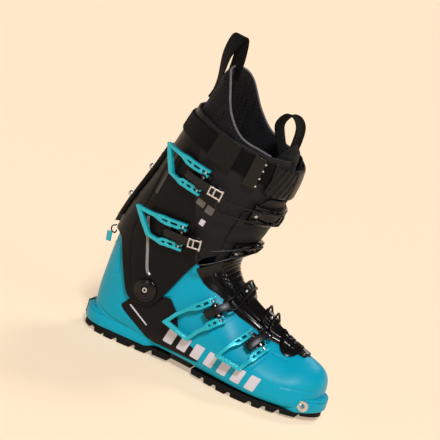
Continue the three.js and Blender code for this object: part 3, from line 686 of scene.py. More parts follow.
# ---------- layers, as in part.mjs
SOLE_BACK, SOLE_TIP = -44, 259
LEDGE_HALF = 34.5
LEDGE_TOP = 27
SHELL_WALL = 4
TONGUE = (0.3, 2)
CUFF = (3.1, 5.8)
FLAP = (6.4, 8.4)
STRAP = (6.4, 8.6)
FITTINGS = (9.6, 11.8)
LINER_CUFF = (-8, 1.4)
PIVOT = (32.5, 76)

SHELL_EDGE = [
    (-60, -5), (280, -5), (268, 82), (229, 81), (224.5, 65), (207.5, 68), (196, 69.5), (175, 73.5),
    (162, 79), (132.5, 88.5), (114.5, 101), (95.5, 105.5), (84, 114), (76.5, 125.5), (57, 120.5),
    (2, 114), (-15, 120.5), (-60, 116.5),
]
CORNER = (76.5, 125.5)
INLAY_EDGE = [
    (4.5, 45), (16.5, 60.5), (60, 78), (73.5, 64), (84, 42), (112.5, 30), (115.5, 18.5), (49.5, 17),
]
SOLE_LINE = [(-60, 10.3), (50, 10.3), (56, 14), (106, 14), (112, 9), (236, 9), (256, 12.7), (275, 14.8)]


def sole_line(x):
    """The height of the shell's lower edge."""
    for (ax, az), (bx, bz) in zip(SOLE_LINE, SOLE_LINE[1:]):
        if x <= bx:
            return lerp(az, bz, max(0, (x - ax) / (bx - ax)))
    return SOLE_LINE[-1][1]


def inside_from(outline, u, lo, hi, count=60):
    """The first angle from lo towards hi at which station u is inside an outline."""
    was = lo
    for phi in steps(lo, hi, count):
        if covers(outline, u, phi):
            return last_true(lambda angle: covers(outline, u, angle), phi, was, 20)
        was = phi
    return hi


# ---------- lower shell
HEEL_LINE = [(-24, 33), (-6, 26), (16, 22), (34, 14)]
SIDE_LINES = [
    [(214, 33), (232, 34.5), (247, 36)],
    [(173, 35), (182, 50), (190, 63)],
    [(188, 60), (206, 57.5)],
]
BUCKLE_STEP = [(139, 88), (126, 72), (117, 52)]
SPINE_FLUTES = [[(-13, 123), (-4, 105), (7, 86)], [(-18, 123), (-16, 105), (-11, 80)]]


def shell_relief(u, phi):
    """How far the shell's surface stands off the plain form: the inlay recesses, lines and flutes."""
    p = skin(u, phi, 0)
    d = -1.5 * ease(edge_distance(INLAY_EDGE, p.x, p.z) / 0.8 + 0.5)
    for line in SIDE_LINES:
        d += groove(line, p.x, p.z, 2.0, -1.0)
    d += groove(HEEL_LINE, p.x, p.z, 2.0, -1.1)
    if p.y < 0:
        d += groove(BUCKLE_STEP, p.x, p.z, 3.0, 0.6)
    for line in SPINE_FLUTES:
        d += groove(line, p.x, p.z, 4.2, -2.0)
    return d


def shell_surface(distance, floor):
    """The shell's surface at distance(u, phi), kept `floor` above its lower edge."""

    def place(u, phi):
        p = skin(u, phi, distance(u, phi))
        p.z = max(p.z, sole_line(p.x) + floor)
        return p

    return place


def make_lower_shell():
    """The shell as columns from the toe tip up to its top edge, open over the instep."""
    u_corner = seen_at(*CORNER, -1)[0]
    top_rows, around = 250, 210
    openings = {}

    def opening(u):
        u = round(min(u, u_corner), 5)
        if u not in openings:
            openings[u] = inside_from(SHELL_EDGE, u, 0, 90) if u > 1.5 else 0
        return openings[u]

    def angle(u, w):
        return opening(u) + (180 - opening(u)) * w

    def top(w):
        return last_true(lambda u: covers(SHELL_EDGE, u, angle(u, w)), u_corner - 1.2, 14.6, 24)

    shares = steps(0, 1, around)
    tops = [top(1 - abs(1 - 2 * v)) if 0 < v < 1 else u_corner for v in shares]
    grid = []
    for s in steps(0, 1, top_rows):
        row = []
        for v, end in zip(shares, tops):
            u = s * end
            phi = angle(u, 1 - abs(1 - 2 * v))
            row.append((u, phi if v <= 0.5 else 360 - phi))
        grid.append(row)
    closed = sum(1 for row in grid if row[0][1] == 0) - 1
    outer = shell_surface(shell_relief, 0)
    inner = shell_surface(lambda u, phi: -SHELL_WALL, 3)
    piece = grid_solid("lower_shell_fine", grid, outer, inner, open_from=closed, cap=True)
    settle(piece, SHELL, ["lower_shell"])


def make_ledge(name, x_back, x_tip):
    """The lip round the toe or the heel that a binding holds, with a groove along its side."""
    towards = 1 if x_tip > x_back else -1
    middle = x_tip - towards * LEDGE_HALF
    tail = x_back - towards * 16
    tail_half = LEDGE_HALF - 11
    plan = [(tail, -tail_half), (x_back, -LEDGE_HALF)]
    for k in range(41):
        a = math.radians(-90 + 180 * k / 40)
        plan.append((middle + towards * LEDGE_HALF * math.cos(a), LEDGE_HALF * math.sin(a)))
    plan += [(x_back, LEDGE_HALF), (tail, tail_half)]
    levels = [(0.0, 1.2), (0.1, 0), (0.72, 0), (0.78, 0.7), (0.84, 0), (0.94, 0.3), (1.0, 1.4)]
    rings = []
    centre = Vector((middle, 0, 0))
    for share, inset in levels:
        ring = []
        for x, y in plan:
            low = sole_line(x) - 0.6
            p = Vector((x, y, 0))
            p -= (p - centre).normalized() * inset
            ring.append(Vector((p.x, p.y, lerp(low, LEDGE_TOP, share))))
        rings.append(ring)
    settle(several(name, [tube(rings)]), SHELL, body="lower_boot")


def make_inlays():
    """The black inlays, a little smaller than the recesses that hold them, each with one pale bar."""
    for side, name in ((-1, "side_inlay_outer"), (1, "side_inlay_inner")):
        edge = [(lerp(x, 60, 0.018), lerp(z, 42, 0.03)) for x, z in INLAY_EDGE]
        piece = side_patch(name + "_fine", edge, side, -0.15, -1.45, 16, 120, lip=0.4, centre=(60, 42))
        settle(piece, INLAY, [name])
        stripe = [(17, 50.3), (18.2, 51.6), (44, 36), (43, 34.8)]
        mark = side_patch(name + "_line", stripe, side, 0.05, -0.6, rings=3, around=60)
        settle(mark, PRINT, body="lower_boot")


def make_side_stripes():
    """Plain slanted bars along the shell's side."""
    tall, width, lean = 17, 11.5, 5
    for k in range(7):
        x = 67 + 18.2 * k
        z = 27 - 1.5 * k
        bar = [(x, z), (x + width, z - 1), (x + width + lean, z + tall - 1), (x + lean, z + tall)]
        piece = side_patch(f"side_stripe_{k + 1}", bar, -1, 0.35, -0.4, 5, 120, soft=0.06)
        settle(piece, PRINT, body="lower_boot")


# ---------- instep tongue and toe plate
TONGUE_EDGE = [
    (229, 81), (225, 63), (207.5, 65.5), (196.5, 67), (173.5, 70.5), (160, 75.5), (131, 85.5), (111.5, 98),
    (92.5, 102.5), (80.5, 112), (74, 123), (80.5, 126.5), (92.5, 133), (104.5, 136.5), (140, 150), (260, 150),
]


def make_instep_tongue():
    """The tongue, with a raised middle, a rib along each edge, and flex grooves over the instep."""
    outline = rounded(TONGUE_EDGE, 1)
    edges = {u: inside_from(outline, u, 110, 0, 80) for u in steps(3.02, 12.0, 150)}

    def relief(u, phi):
        share = abs(phi) / max(edges[u], 1)
        d = TONGUE[1] + 0.9 * ease((0.62 - share) / 0.1)
        d += 0.8 * (1 - ease(abs(share - 0.78) / 0.07))
        if 7.2 < u < 11.6 and share < 0.6:
            d -= 0.8 * (1 - ease(abs(math.sin(u * math.pi * 1.6)) / 0.45))
        return d

    grid = [[(u, phi) for phi in steps(-edge, edge, 90)] for u, edge in edges.items()]
    settle(grid_solid("instep_tongue_fine", grid, relief, TONGUE[0], lip=0.6), GLOSS, ["instep_tongue"])


def make_toe_plate():
    """The oval vent plate over the toes, with a raised rim and slots."""
    centre = (4.1, 0)
    reach = (0.62, 27)
    rings = 16
    grid = []
    for r in range(1, rings + 1):
        share = r / rings
        grid.append([
            (centre[0] - reach[0] * share * sine, centre[1] + reach[1] * share * cosine)
            for cosine, sine in circle(72)
        ])

    def relief(u, phi):
        share = math.hypot((u - centre[0]) / reach[0], phi / reach[1])
        d = 4.0 - 1.2 * ease((share - 0.9) / 0.1) + 0.6 * (1 - ease(abs(share - 0.8) / 0.1))
        if share < 0.66:
            d -= 1.3 * ease((math.sin(phi * 0.72) - 0.25) / 0.3)
        return d

    settle(disc_solid("toe_plate_fine", grid, centre, relief, 2.2), GLOSS, ["toe_vent_panel"])


# ---------- cuff
CUFF_EDGE = [
    (15.5, 60.5), (26.5, 57.5), (43.5, 61), (50.5, 70.5), (58, 86.5), (67, 108), (76, 126), (80.5, 132),
    (91.5, 138.5), (104.5, 142), (156.5, 143), (194.5, 205), (193, 267), (109, 269), (87, 272.5), (65, 276),
    (32.5, 287), (2.5, 290), (-67.5, 282.5), (-63.5, 123.5), (-36, 123), (-16, 122), (-4.5, 96), (10, 66.5),
]
PANEL_LINES = [
    [(52, 212), (56, 196), (66, 167), (77, 134)],
    [(9, 226), (2, 175), (-6, 132)],
    [(-4, 128), (3, 98), (13, 76)],
    [(13, 262), (40, 268), (70, 262), (96, 250)],
]
PANEL_SPLIT = [(34, 300), (52, 212), (56, 196), (66, 167), (77, 134), (88, 100), (96, 60)]
REAR_RIB = [(11, 156), (21, 119), (27, 99), (32, 93.5)]
UPPER_RIB = [(22, 232), (17, 205), (12, 183)]
RIB_RADIUS = 1.9


def cuff_relief(u, phi):
    """Panel lines and the pivot's round pad."""
    p = skin(u, phi, CUFF[1])
    d = CUFF[1]
    for line in PANEL_LINES:
        d += groove(line, p.x, p.z, 2.0, -1.2)
    away = math.hypot(p.x - PIVOT[0], p.z - PIVOT[1])
    d += 0.7 * (1 - ease((away - 16) / 1.2))
    return d


def panel_edge(z):
    """Where the cuff's lighter front panel begins at a height."""
    for (ax, az), (bx, bz) in zip(PANEL_SPLIT, PANEL_SPLIT[1:]):
        if z >= bz:
            return lerp(ax, bx, (z - az) / (bz - az))
    return PANEL_SPLIT[-1][0]


def column_span(outline, phi, lo, hi=23.0):
    """The first and last station inside an outline along one angle."""

    def test(u):
        return covers(outline, u, phi)

    count = 130
    hits = [u for u in steps(lo, hi, count) if test(u)]
    step = (hi - lo) / count
    return [last_true(test, start, start + way, 14) for start, way in ((hits[0], -step), (hits[-1], step))]


def make_cuff():
    """The cuff shell: its front panel, up to the panel line, is the lighter plastic."""
    outline = rounded(CUFF_EDGE, 2, 0.2)
    spans = [(phi, column_span(outline, phi, 9.6)) for phi in steps(19, 341, 260)]
    grid = []
    for s in steps(0, 1, 130):
        grid.append([(lerp(a, b, s), phi) for phi, (a, b) in spans])
    piece = grid_solid("cuff_shell_fine", grid, cuff_relief, CUFF[0] + 0.5, lip=0.7)
    settle(piece, CUFF_PLASTIC, ["cuff_shell"])
    piece.data.materials.append(CUFF_FRONT)
    for face in piece.data.polygons:
        x, z = face.center.x / MM, face.center.z / MM
        face.material_index = int(x > panel_edge(z))


def make_ribs():
    """The glossy raised ribs at the cuff's rear, on both sides; the rear ones are painted light grey as a
    painted highlight.
    """
    for number, side in ((1, -1), (2, 1)):
        for name, line, material in (("rear", REAR_RIB, RIB_PAINTED_GLINT), ("upper", UPPER_RIB, GREY_SATIN)):
            points = [skin(*seen_at(x, z, side), CUFF[1]) for x, z in line]
            rib = several(f"cuff_rib_{name}_{number}", [round_wire(points, RIB_RADIUS, 8, 14)])
            settle(rib, material, body="cuff")


def flap_relief(u, phi):
    """The front flap: a stepped overlap above the lower ladder, and a folded edge."""
    d = FLAP[1] - 0.8 * ease((14.9 - u) / 0.12)
    d -= 0.5 * (1 - ease(abs(phi - 33) / 2.2))
    d += 0.5 * ease((u - 16.35) / 0.1)
    return d


def make_flap():
    def edge_low(phi):
        return 11.95 + 0.5 * ease((phi - 18) / 26)

    def edge_high(phi):
        return 18.75 - 1.3 * ease((phi - 24) / 22)

    grid = []
    for s in steps(0, 1, 120):
        grid.append([(lerp(edge_low(phi), edge_high(phi), s), phi) for phi in steps(-30, 46, 70)])
    settle(grid_solid("cuff_flap_fine", grid, flap_relief, FLAP[0] - 0.2, lip=0.7), CUFF_FRONT, ["cuff_flap"])


def make_cuff_marks():
    """Plain grey blocks on the cuff's side."""
    for k, (x, z, w, h) in enumerate([(58, 192, 9, 7), (69, 186, 8, 9), (66, 170, 5, 7)]):
        low = z - 0.35 * w
        mark = [(x, z), (x + w, low), (x + w + 2, low + h), (x + 2, z + h)]
        piece = side_patch(f"cuff_mark_{k + 1}", mark, -1, CUFF[1] + 0.15, CUFF[1] - 0.4, 5, 90, soft=0.06)
        settle(piece, GREY_PRINT if k < 2 else PRINT, body="cuff")


# ---------- power strap
STRAP_LOW = 19.45


def strap_top(phi):
    """The station of the strap's upper edge, which slopes down to the back."""
    return 20.95 - 0.65 * (0.5 - 0.5 * math.cos(math.radians(phi)))


def patch(u0, u1, phi0, phi1, nu, nphi):
    """A grid over stations and angles; u1 may depend on the angle."""
    high = u1 if callable(u1) else lambda phi: u1
    phis = steps(phi0, phi1, nphi)
    return [[(lerp(u0, high(phi), s), phi) for phi in phis] for s in steps(0, 1, nu)]


def make_power_strap():
    """The strap all round the cuff, with thin edges and a raised line along its middle."""
    grid = [row[:-1] for row in patch(STRAP_LOW, strap_top, 0, 360, 16, 180)]

    def relief(u, phi):
        share = (u - STRAP_LOW) / (strap_top(phi) - STRAP_LOW)
        middle = ease((share - 0.44) / 0.06) * ease((0.56 - share) / 0.06)
        return STRAP[1] - 0.5 * (1 - ease(min(share, 1 - share) / 0.06)) + 0.25 * middle

    settle(grid_solid("power_strap_fine", grid, relief, STRAP[0], wrap=True), WEBBING, ["power_strap"])


def make_strap_pad():
    """The strap's rubber tail with slanting ribs, and the smooth front pad over it."""
    low, high = 18.9, 21.05
    grid = patch(low, high, -42, 40, 40, 120)

    def relief(u, phi):
        share = (u - low) / (high - low)
        edge = min(share, 1 - share) / 0.07
        d = FITTINGS[1] - 0.8 * (1 - ease(edge))
        if phi > 9:
            rib = math.sin((phi + 13 * share) * 0.85)
            d += 1.5 * ease((rib + 0.3) / 0.9) * ease((phi - 9) / 2) * ease(edge - 0.3) - 0.7
        else:
            d += 0.7 * ease((9 - phi) / 1.5)
        return d

    piece = grid_solid("strap_pad_fine", grid, relief, FITTINGS[0] - 0.6, lip=0.5)
    settle(piece, STRAP_RUBBER, ["strap_pad"])


def make_strap_fittings():
    """The slider plate with its bar, the hook, and a column of bright studs."""
    low, high, front, back = 19.3, 20.85, 77, 98
    outer = patch(low, high, front, back, 20, 24)

    def slider(u, phi):
        tall, long = high - low, back - front
        edge = min((u - low) / tall, (high - u) / tall, (phi - front) / long, (back - phi) / long)
        frame_height = 0.9 * (1 - ease((edge - 0.12) / 0.05))
        bar = 0.9 * (1 - ease((abs(phi - 87) - 1.6) / 0.8))
        return FITTINGS[1] - 0.9 + max(frame_height, bar)

    settle(grid_solid("strap_slider_fine", outer, slider, STRAP[1] + 0.2, lip=0.6), DULL, ["strap_slider"])
    grid = patch(19.0, 20.95, 51, 63, 20, 14)

    def hook(u, phi):
        return FITTINGS[1] + 0.9 * (1 - ease((abs(phi - 53.5) - 1.5) / 1.0)) - 0.5 * ease((phi - 58) / 3)

    settle(grid_solid("strap_hook_fine", grid, hook, STRAP[1] + 0.2, lip=0.6), GLOSS, ["strap_hook"])
    profile = [(0, 1), (1.1, 0.7), (1.3, 0), (1.3, -2), (0, -2)]
    for k, u in enumerate((19.25, 19.75, 20.25, 20.7)):
        stud = several(f"strap_stitch_{k + 1}", [lathe(profile, *lifted(u, 51.2, FITTINGS[1], 0.4), 16)])
        settle(stud, STEEL, body="cuff")


# ---------- liner
COLLAR_EDGE = [
    (-54, 151.5), (-10, 152), (14.5, 141.5), (28.5, 131), (86.5, 144.5), (121, 163), (164.5, 214.5),
    (163, 260.5), (127, 263.5), (107, 271), (93, 273.5), (78.5, 280), (62, 297.5), (54, 311.5), (47.5, 325.5),
    (40, 337), (29, 345), (1, 344),
]
TONGUE_SPLIT = 42


def make_liner_cuff():
    """The padded collar: quilted channels outside, spacer mesh inside, and a stitched rim."""
    outline = rounded(COLLAR_EDGE, 2)
    angles = steps(TONGUE_SPLIT + 1, 359 - TONGUE_SPLIT, 180)
    spans = [(phi, column_span(outline, phi, 12.5, 22.98)) for phi in angles]
    grid = [[(lerp(a, b, s), phi) for phi, (a, b) in spans] for s in steps(0, 1, 110)]
    tops = {phi: b for phi, (a, b) in spans}

    def roll(u, phi):
        """Pulls both faces together towards the rim."""
        return ease((tops[phi] - u) / 0.32)

    def outer(u, phi):
        p = skin(u, phi, 0)
        quilt = 0.7 * abs(math.sin((p.z - 0.35 * p.x) * math.pi / 17))
        above = ease((p.z - 262) / 20)
        return lerp(-2.6, LINER_CUFF[1] - 0.7 + quilt * above, roll(u, phi))

    def inner(u, phi):
        above = ease((u - 20.2) / 0.8)
        return lerp(-3.4, LINER_CUFF[0] + 1.2 * above, roll(u, phi))

    piece = grid_solid("liner_cuff_fine", grid, outer, inner)
    settle(piece, MESH_LINING, ["liner_cuff"])
    rim = [skin(b - 0.03, phi, -2.9) for phi, (a, b) in spans[::3]]
    settle(several("liner_piping", [round_wire(rim, 1.25, 3, 8)]), PIPING, body="cuff")


def make_liner_tongue():
    """The padded tongue, arched at its top and thin at its border, with piping over it."""
    edge = TONGUE_SPLIT - 7

    def high(phi):
        return 22.35 - 1.3 * (phi / edge) ** 2

    grid = patch(14.9, high, -edge, edge, 90, 60)

    def border(u, phi):
        return min((edge - abs(phi)) / 6, (high(phi) - u) / 0.35)

    def outer(u, phi):
        b = ease(border(u, phi))
        pad = 0.8 * abs(math.sin((u - 0.01 * phi) * math.pi * 1.1)) * ease((u - 19.6) / 0.4)
        return lerp(-3, 0.2 + pad, b)

    def inner(u, phi):
        return lerp(-4.4, -7.5, ease(border(u, phi)))

    piece = grid_solid("liner_tongue_fine", grid, outer, inner)
    settle(piece, MESH_LINING, ["liner_tongue"])
    rim = [skin(high(phi), phi, -3.6) for phi in steps(-edge + 1, edge - 1, 24)]
    settle(several("tongue_piping", [round_wire(rim, 1.2, 3, 8)]), CLOTH, body="cuff")


def webbing_loop(name, points, across, width, node):
    """A folded loop of webbing with a raised edge on each side."""
    path = smooth_path(points, 10)
    outs = []
    for i in range(len(path)):
        way = across[0].lerp(across[1], min(1, 2.2 * i / (len(path) - 1)))
        outs.append(heading(path, i).cross(way).normalized())
    edge = [(1, -0.5), (1, 0.5), (0.94, 0.8), (0.86, 1), (0.8, 0.72)]
    profile = edge + [(-x, h) for x, h in reversed(edge)] + [(-0.9, -1), (0.9, -1)]
    settle(several(name, [tube(bar_rings(path, outs, width, 1.9, profile))]), WEBBING, [node])


FRONT_LOOP = [
    (119, 268), (109, 286), (105, 299), (112, 311), (122, 311), (129, 302), (130, 286), (128, 268),
]


def make_loops():
    """The heel's pull tab and the tongue's loop."""
    heel = [
        skin(21.2, 168, 1.6), skin(22.0, 168, 3.0), Vector((24, -8, 352)), Vector((30, -8, 372)),
        Vector((34, -3, 373)), Vector((36, -1, 352)), Vector((36, -2, 326)),
    ]
    across = (Vector((0.2, -0.98, 0)), Vector((0.88, -0.45, 0)))
    webbing_loop("heel_pull_fine", heel, across, 20, "heel_pull_tab")
    front = [
        Vector((x, 0, z))
        for x, z in FRONT_LOOP
    ]
    across = Vector((0.35, 0.94, 0))
    webbing_loop("tongue_pull_fine", front, (across, across), 17, "tongue_pull_loop")


def make_liner_foot():
    """The footbed and the foot of the liner, which are both hidden in the shell."""
    refined("footbed", CLOTH, 0.6)
    refined("liner_foot", CLOTH, 0.8, angle=40)


# ---------- buckles
BUCKLES = [
    dict(axle=(18.16, 91), handle=(18.25, 127.4), skew=8, on=CUFF[1], reach=0.4,
         ladder=17.5, half=0.55, ends=(40, -24), under=FLAP[1], spread=0.4),
    dict(axle=(14.96, 82), handle=(15.39, 113), skew=9, on=CUFF[1], reach=0.4,
         ladder=13.2, half=1.2, ends=(36, -26), under=FLAP[1], spread=0.75),
    dict(axle=(7.77, 55.4), handle=(8.65, 93.9), skew=8, on=0.2, reach=0.35,
         ladder=7.15, half=0.45, ends=(16, -34), under=TONGUE[1], spread=0.3),
    dict(axle=(5.41, 37.4), handle=(6.01, 84.9), skew=5, on=0.2, reach=0.22,
         ladder=5.35, half=0.3, ends=(10, -34), under=TONGUE[1], spread=0.2),
]
LEVER_HALF = 14.5
ARM = 4.4
ARM_OFF = LEVER_HALF - ARM / 2
AXLE_LIFT = 6.5
BARREL_WIDTH = 9
BAIL_RADIUS = 1.3


class Buckle:
    """A buckle's own frame: its axle, the way to its handle, and the way off the boot."""

    def __init__(self, b, number):
        self.b = b
        self.number = number
        self.hinge, self.out = self.at(0, AXLE_LIFT)
        self.along = (self.at(0.3, AXLE_LIFT)[0] - self.hinge).normalized()
        self.axle = self.out.cross(self.along).normalized()
        if self.axle.z < 0:
            self.axle.negate()

    def at(self, share, lift):
        u, phi = (lerp(self.b["axle"][k], self.b["handle"][k], share) for k in (0, 1))
        return lifted(u, phi, self.b["on"], lift)

    def shift(self, p, across, back=0.0):
        return p + self.axle * across + self.along * back


def make_lever(f):
    """An open cast frame: each arm splits into two slotted tines at the axle, and a bar joins the arms."""
    solids = []
    shares = steps(-0.16, 1, 14)
    ends = {}
    for side in (-1, 1):
        for tine in (-1, 1):
            path, outs, widths = [], [], []
            for s in shares:
                p, out = f.at(max(s, 0), AXLE_LIFT + 1.5 * max(s, 0))
                split = 2.9 * (1 - ease((s - 0.38) / 0.24))
                wide = 1.6 * ease((s - 0.3) / 0.3)
                skewed = side * f.b["skew"] * ease(max(s, 0) ** 1.2)
                back = min(s, 0) * 30
                path.append(f.shift(p, side * (ARM_OFF - 0.4 + wide) + tine * split, skewed + back))
                outs.append(out)
                widths.append(lerp(3.1, 4.3, ease((s - 0.3) / 0.3)))
            solids.append(tube(bar_rings(path, outs, widths, 4.6)))
            ends[side] = (path[-1], outs[-1])
        for s in (0.1, 0.3):
            p, out = f.at(s, AXLE_LIFT + 1.5 * s)
            skewed = side * f.b["skew"] * ease(s ** 1.2)
            a = f.shift(p, side * (ARM_OFF - 0.4) - 3.4, skewed)
            b = f.shift(p, side * (ARM_OFF - 0.4) + 3.4, skewed)
            solids.append(tube(bar_rings([a, b], [out, out], 3.6, 4.0)))
    low, high = ends[-1][0], ends[1][0]
    bar = (high - low).normalized()
    out = ends[1][1]
    path = [low - bar * 2, low.lerp(high, 0.5) + out * 0.8, high + bar * 2]
    for offset in (-1.6, 1.6):
        slid = [p + f.along * offset for p in path]
        solids.append(tube(bar_rings(slid, [out] * 3, 2.6, 4.4)))
    solids.append(tube(bar_rings(path, [out] * 3, 3.4, 2.4)))
    piece = several(f"lever_{f.number}", solids)
    remesh(piece, 0.5, 2)
    settle(piece, LEVER, [f"buckle{f.number}_lever"])


def make_bail(f):
    """The wire hoop from the lever's barrel to its hook on the ladder."""
    b = f.b
    lift = b["under"] + 9.4
    end, _ = f.at(-b["reach"], AXLE_LIFT + 5.6)
    off = BARREL_WIDTH / 2 + BAIL_RADIUS + 0.3
    first = b["axle"][1] - (b["handle"][1] - b["axle"][1]) * b["reach"] - 10
    hooked = (b["ends"][0] + b["ends"][1]) / 2 - 4

    def face(share, phi, more=0.0):
        return skin(b["ladder"] + share * b["spread"], phi, lift + more)

    def leg(side):
        return [
            f.shift(end, side * off, 5), f.shift(end, side * off, -4), face(side, first, 1),
            face(side, (first + hooked) / 2, 0.4), face(side, hooked + 6),
        ]

    points = leg(1) + [face(0.7, hooked), face(-0.7, hooked)] + leg(-1)[::-1]
    piece = several(f"bail_{f.number}", [round_wire(points, BAIL_RADIUS, 7, 12)])
    settle(piece, BLACK_STEEL, [f"buckle{f.number}_bail"])


def make_catch(f):
    """The bright open bracket on a cuff bail: two rails joined by three bars."""
    near, out = f.at(-0.26, AXLE_LIFT + 9.4)
    far, _ = f.at(-0.54, AXLE_LIFT + 9.4)
    rails = [(f.shift(near, side * 4.6), f.shift(far, side * 4.6)) for side in (-1, 1)]
    for share, reach in ((0, 5.6), (0.4, 4.6), (1, 6.8)):
        p = near.lerp(far, share)
        rails.append((f.shift(p, -reach), f.shift(p, reach)))
    solids = [tube(bar_rings([a, b], [out, out], 1.8, 1.8)) for a, b in rails]
    piece = several(f"catch_{f.number}", solids)
    remesh(piece, 0.4, 2)
    settle(piece, STEEL, [f"buckle{f.number}_catch"])


def make_ladder(f):
    """A curved plate with saw teeth, a rivet and a raised end."""
    b = f.b
    base = b["under"] + 1.9
    high, low = b["ends"]
    half = 1.25 * b["half"]
    us = (b["ladder"] - half, b["ladder"] + half)
    grid = patch(*us, low, high, 18, 90)
    span = high - low

    def relief(u, phi):
        across = abs(u - b["ladder"]) / half
        d = base + 3.1
        toothed = (phi - low - 2) / (span - 16)
        if 0 < toothed < 1 and across < 0.86:
            saw = (toothed * 6) % 1
            d += 2.6 * ease((0.86 - across) / 0.1) * (1 - saw) * ease(saw / 0.14)
        d += 0.7 * ease((phi - high + 9) / 2) * ease((0.8 - across) / 0.2)
        return d - 1.2 * ease((across - 0.86) / 0.14)

    piece = grid_solid(f"ladder_{f.number}", grid, relief, base - 1.4, lip=0.4)
    settle(piece, GLOSS, [f"buckle{f.number}_ladder"])
    p = skin(b["ladder"], high - 5, base + 3.6)
    away = (skin(b["ladder"], high - 5, base + 6) - p).normalized()
    profile = [(0, 0.9), (1.5, 0.7), (2.2, 0), (2.2, -1.5), (0, -1.5)]
    rivet = several(f"ladder_rivet_{f.number}", [lathe(profile, p, away, 24)])
    settle(rivet, STEEL, body=BODY_OF[f"buckle{f.number}_ladder"])


def make_buckles():
    for number, b in enumerate(BUCKLES, 1):
        f = Buckle(b, number)
        make_lever(f)
        make_bail(f)
        make_ladder(f)
        refined(f"buckle{number}_base", BLACK_STEEL, 0.4)
        refined(f"buckle{number}_axle", STEEL, 0.3)
        refined(f"buckle{number}_link", BLACK_STEEL, 0.6)
        if number <= 2:
            make_catch(f)


# ---------- turned and small parts
def make_pivots():
    """Domed pivot caps with a ring and a small screw."""
    centre = Vector((PIVOT[0], 0, PIVOT[1]))
    for name, side in (("pivot_bolt_outer", -1), ("pivot_bolt_inner", 1)):
        wall = abs(skin(*seen_at(*PIVOT, side), 0).y)
        axis = Vector((0, side, 0))
        top = wall + CUFF[1]
        profile = [
            (0, wall - SHELL_WALL), (6, wall - SHELL_WALL), (6, wall + 1), (9, wall + 1), (9, top + 0.6),
            (13.5, top + 0.6), (13.5, top + 2.2), (12.8, top + 3.2), (11.6, top + 3.6), (10.8, top + 3.2),
            (10.2, top + 3.4), (8, top + 4.3), (5.2, top + 4.6), (4.6, top + 3.9), (4.2, top + 3.2),
            (0, top + 3.2),
        ]
        settle(several(name + "_fine", [lathe(profile, centre, axis)]), GLOSS, [name])
        screw = [(0, 3.0), (1.5, 3.0), (1.5, 4.3), (2.9, 4.2), (3.3, 3.6), (3.3, 1), (0, 1)]
        screw = [(r, top + h) for r, h in screw]
        piece = several(name + "_screw", [lathe(screw, centre, axis, 32)])
        settle(piece, STEEL, body="lower_boot")


def make_toe_bar():
    """The steel bar across the toe, with a conical pin socket in each bright end."""
    half = 32.6
    profile = [(0, half - 3.4), (1.2, half - 3), (3, half), (6.1, half), (6.6, half - 0.6)]
    profile += [(6.6, half - 3), (5, half - 3.4)]
    profile += [(r, -h) for r, h in reversed(profile)]
    bar = several("toe_pin_bar_fine", [lathe(profile, Vector((242, 0, 18.6)), Vector((0, 1, 0)), 40)])
    settle(bar, STEEL, ["toe_pin_bar"])


def make_small_parts():
    for node in ("heel_sole", "toe_sole"):
        refined(node, RUBBER, 0.7, 2, angle=35)
    refined("arch_shank", DULL, 0.6)
    refined("heel_pin_plate", BLACK_STEEL, 0.4)
    refined("heel_plate_screw", STEEL, 0.3)
    refined("boot_board", DULL, 0.5)
    refined("walk_housing", DULL, 0.7, angle=35)
    refined("walk_pivot_pin", STEEL, 0.3)
    refined("walk_lever", BLACK_STEEL, 0.8)
    refined("lock_pin", STEEL, 0.3)
    refined("walk_pull_tab", TAB, 1.0, 3)
    refined("walk_wire", BLACK_STEEL, 0.1, angle=70)
    profile = [(0, 2.6), (2.2, 2.3), (3.4, 1.2), (3.6, 0), (0, 0)]
    for k in (1, 2):
        refined(f"housing_screw_{k}", STEEL, 0.5)
        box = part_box(f"housing_screw_{k}")
        centre = (Vector(box[0]) + Vector(box[1])) / 2 / MM
        head = lathe(profile, centre, Vector((-0.75, -0.6, 0.25)), 28)
        settle(several(f"housing_screw_head_{k}", [head]), STEEL, body="cuff")


# ---------- camera, floor and light
AIM = Vector((0.0772, -0.0112, 0.1734))
CAMERA = {"azimuth": 17.67, "elevation": 13.44, "roll": 18.31, "away": 2.2, "lens": 160.85}
CREAM = (1.0, 0.807, 0.604)


def make_camera():
    """A level camera at its azimuth and elevation, then rolled."""
    a, e, roll = (math.radians(CAMERA[k]) for k in ("azimuth", "elevation", "roll"))
    back = Vector((math.sin(a) * math.cos(e), -math.cos(a) * math.cos(e), math.sin(e)))
    level = Vector((math.cos(a), math.sin(a), 0))
    upright = back.cross(level)
    up = upright * math.cos(roll) - level * math.sin(roll)
    right = up.cross(back)
    camera = bpy.data.objects.new("camera", bpy.data.cameras.new("camera"))
    bpy.context.scene.collection.objects.link(camera)
    camera.data.lens = CAMERA["lens"]
    camera.data.sensor_width = 36
    turn = Matrix((right, up, back)).transposed().to_4x4()
    camera.matrix_world = Matrix.Translation(AIM + back * CAMERA["away"]) @ turn
    bpy.context.scene.camera = camera


def add_light(name, place, size, power, kind="AREA"):
    """A disc light `size` metres wide, or a sun `size` degrees wide, turned to the boot."""
    data = bpy.data.lights.new(name, kind)
    if kind == "AREA":
        data.shape = "DISK"
        data.size = size
    else:
        data.angle = math.radians(size)
    data.energy = power
    lamp = bpy.data.objects.new(name, data)
    bpy.context.scene.collection.objects.link(lamp)
    lamp.location = place
    lamp.rotation_euler = (AIM - Vector(place)).to_track_quat("-Z", "Y").to_euler()


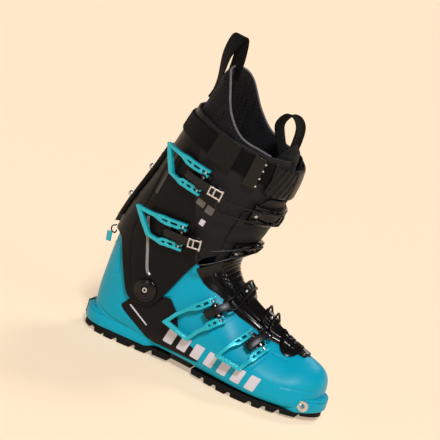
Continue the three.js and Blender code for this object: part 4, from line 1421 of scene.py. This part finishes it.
def make_studio():
    """A pale floor that glows a little, a sky that is bright at the horizon, and four soft lights."""
    bpy.context.scene.view_settings.view_transform = "Standard"
    world = bpy.data.worlds.new("studio")
    bpy.context.scene.world = world
    world.use_nodes = True
    tree = world.node_tree
    background = tree.nodes["Background"]
    background.inputs["Color"].default_value = (*CREAM, 1)
    way = tree.nodes.new("ShaderNodeTexCoord")
    split = tree.nodes.new("ShaderNodeSeparateXYZ")
    fade = tree.nodes.new("ShaderNodeMapRange")
    tree.links.new(way.outputs["Generated"], split.inputs[0])
    tree.links.new(split.outputs["Z"], fade.inputs["Value"])
    tree.links.new(fade.outputs[0], background.inputs["Strength"])
    for socket, value in (("From Min", 0.08), ("From Max", 0.3), ("To Min", 0.97), ("To Max", 0.1)):
        fade.inputs[socket].default_value = value
    half = 9
    mesh = bpy.data.meshes.new("floor")
    corners = [(-half, -half, 0), (half, -half, 0), (half, half, 0), (-half, half, 0)]
    mesh.from_pydata(corners, [], [(0, 1, 2, 3)])
    floor = link("floor", mesh)
    floor.location.z = -0.0004
    n = Nodes("floor_paint", (0.7, 0.55, 0.395), 0.9, Specular_IOR_Level=0.0)
    n.set(n.shader, "Emission Color", (0.44, 0.365, 0.28, 1))
    n.set(n.shader, "Emission Strength", 1.0)
    mesh.materials.append(n.material)
    add_light("key", (0.75, -1.5, 1.9), 12, 2.2, "SUN")
    add_light("back", (0.5, 1.25, 1.7), 16, 0.8, "SUN")
    add_light("front", (1.6, -0.5, 0.9), 0.4, 2.2)
    add_light("side", (-0.5, -1.5, 0.6), 0.3, 0.8)


make_camera()
make_studio()
make_lower_shell()
make_ledge("toe_ledge", 205, SOLE_TIP)
make_ledge("heel_ledge", 46, SOLE_BACK)
make_inlays()
make_side_stripes()
make_instep_tongue()
make_toe_plate()
make_cuff()
make_flap()
make_cuff_marks()
make_ribs()
make_power_strap()
make_strap_pad()
make_strap_fittings()
make_liner_cuff()
make_liner_tongue()
make_loops()
make_liner_foot()
make_buckles()
make_pivots()
make_toe_bar()
make_small_parts()
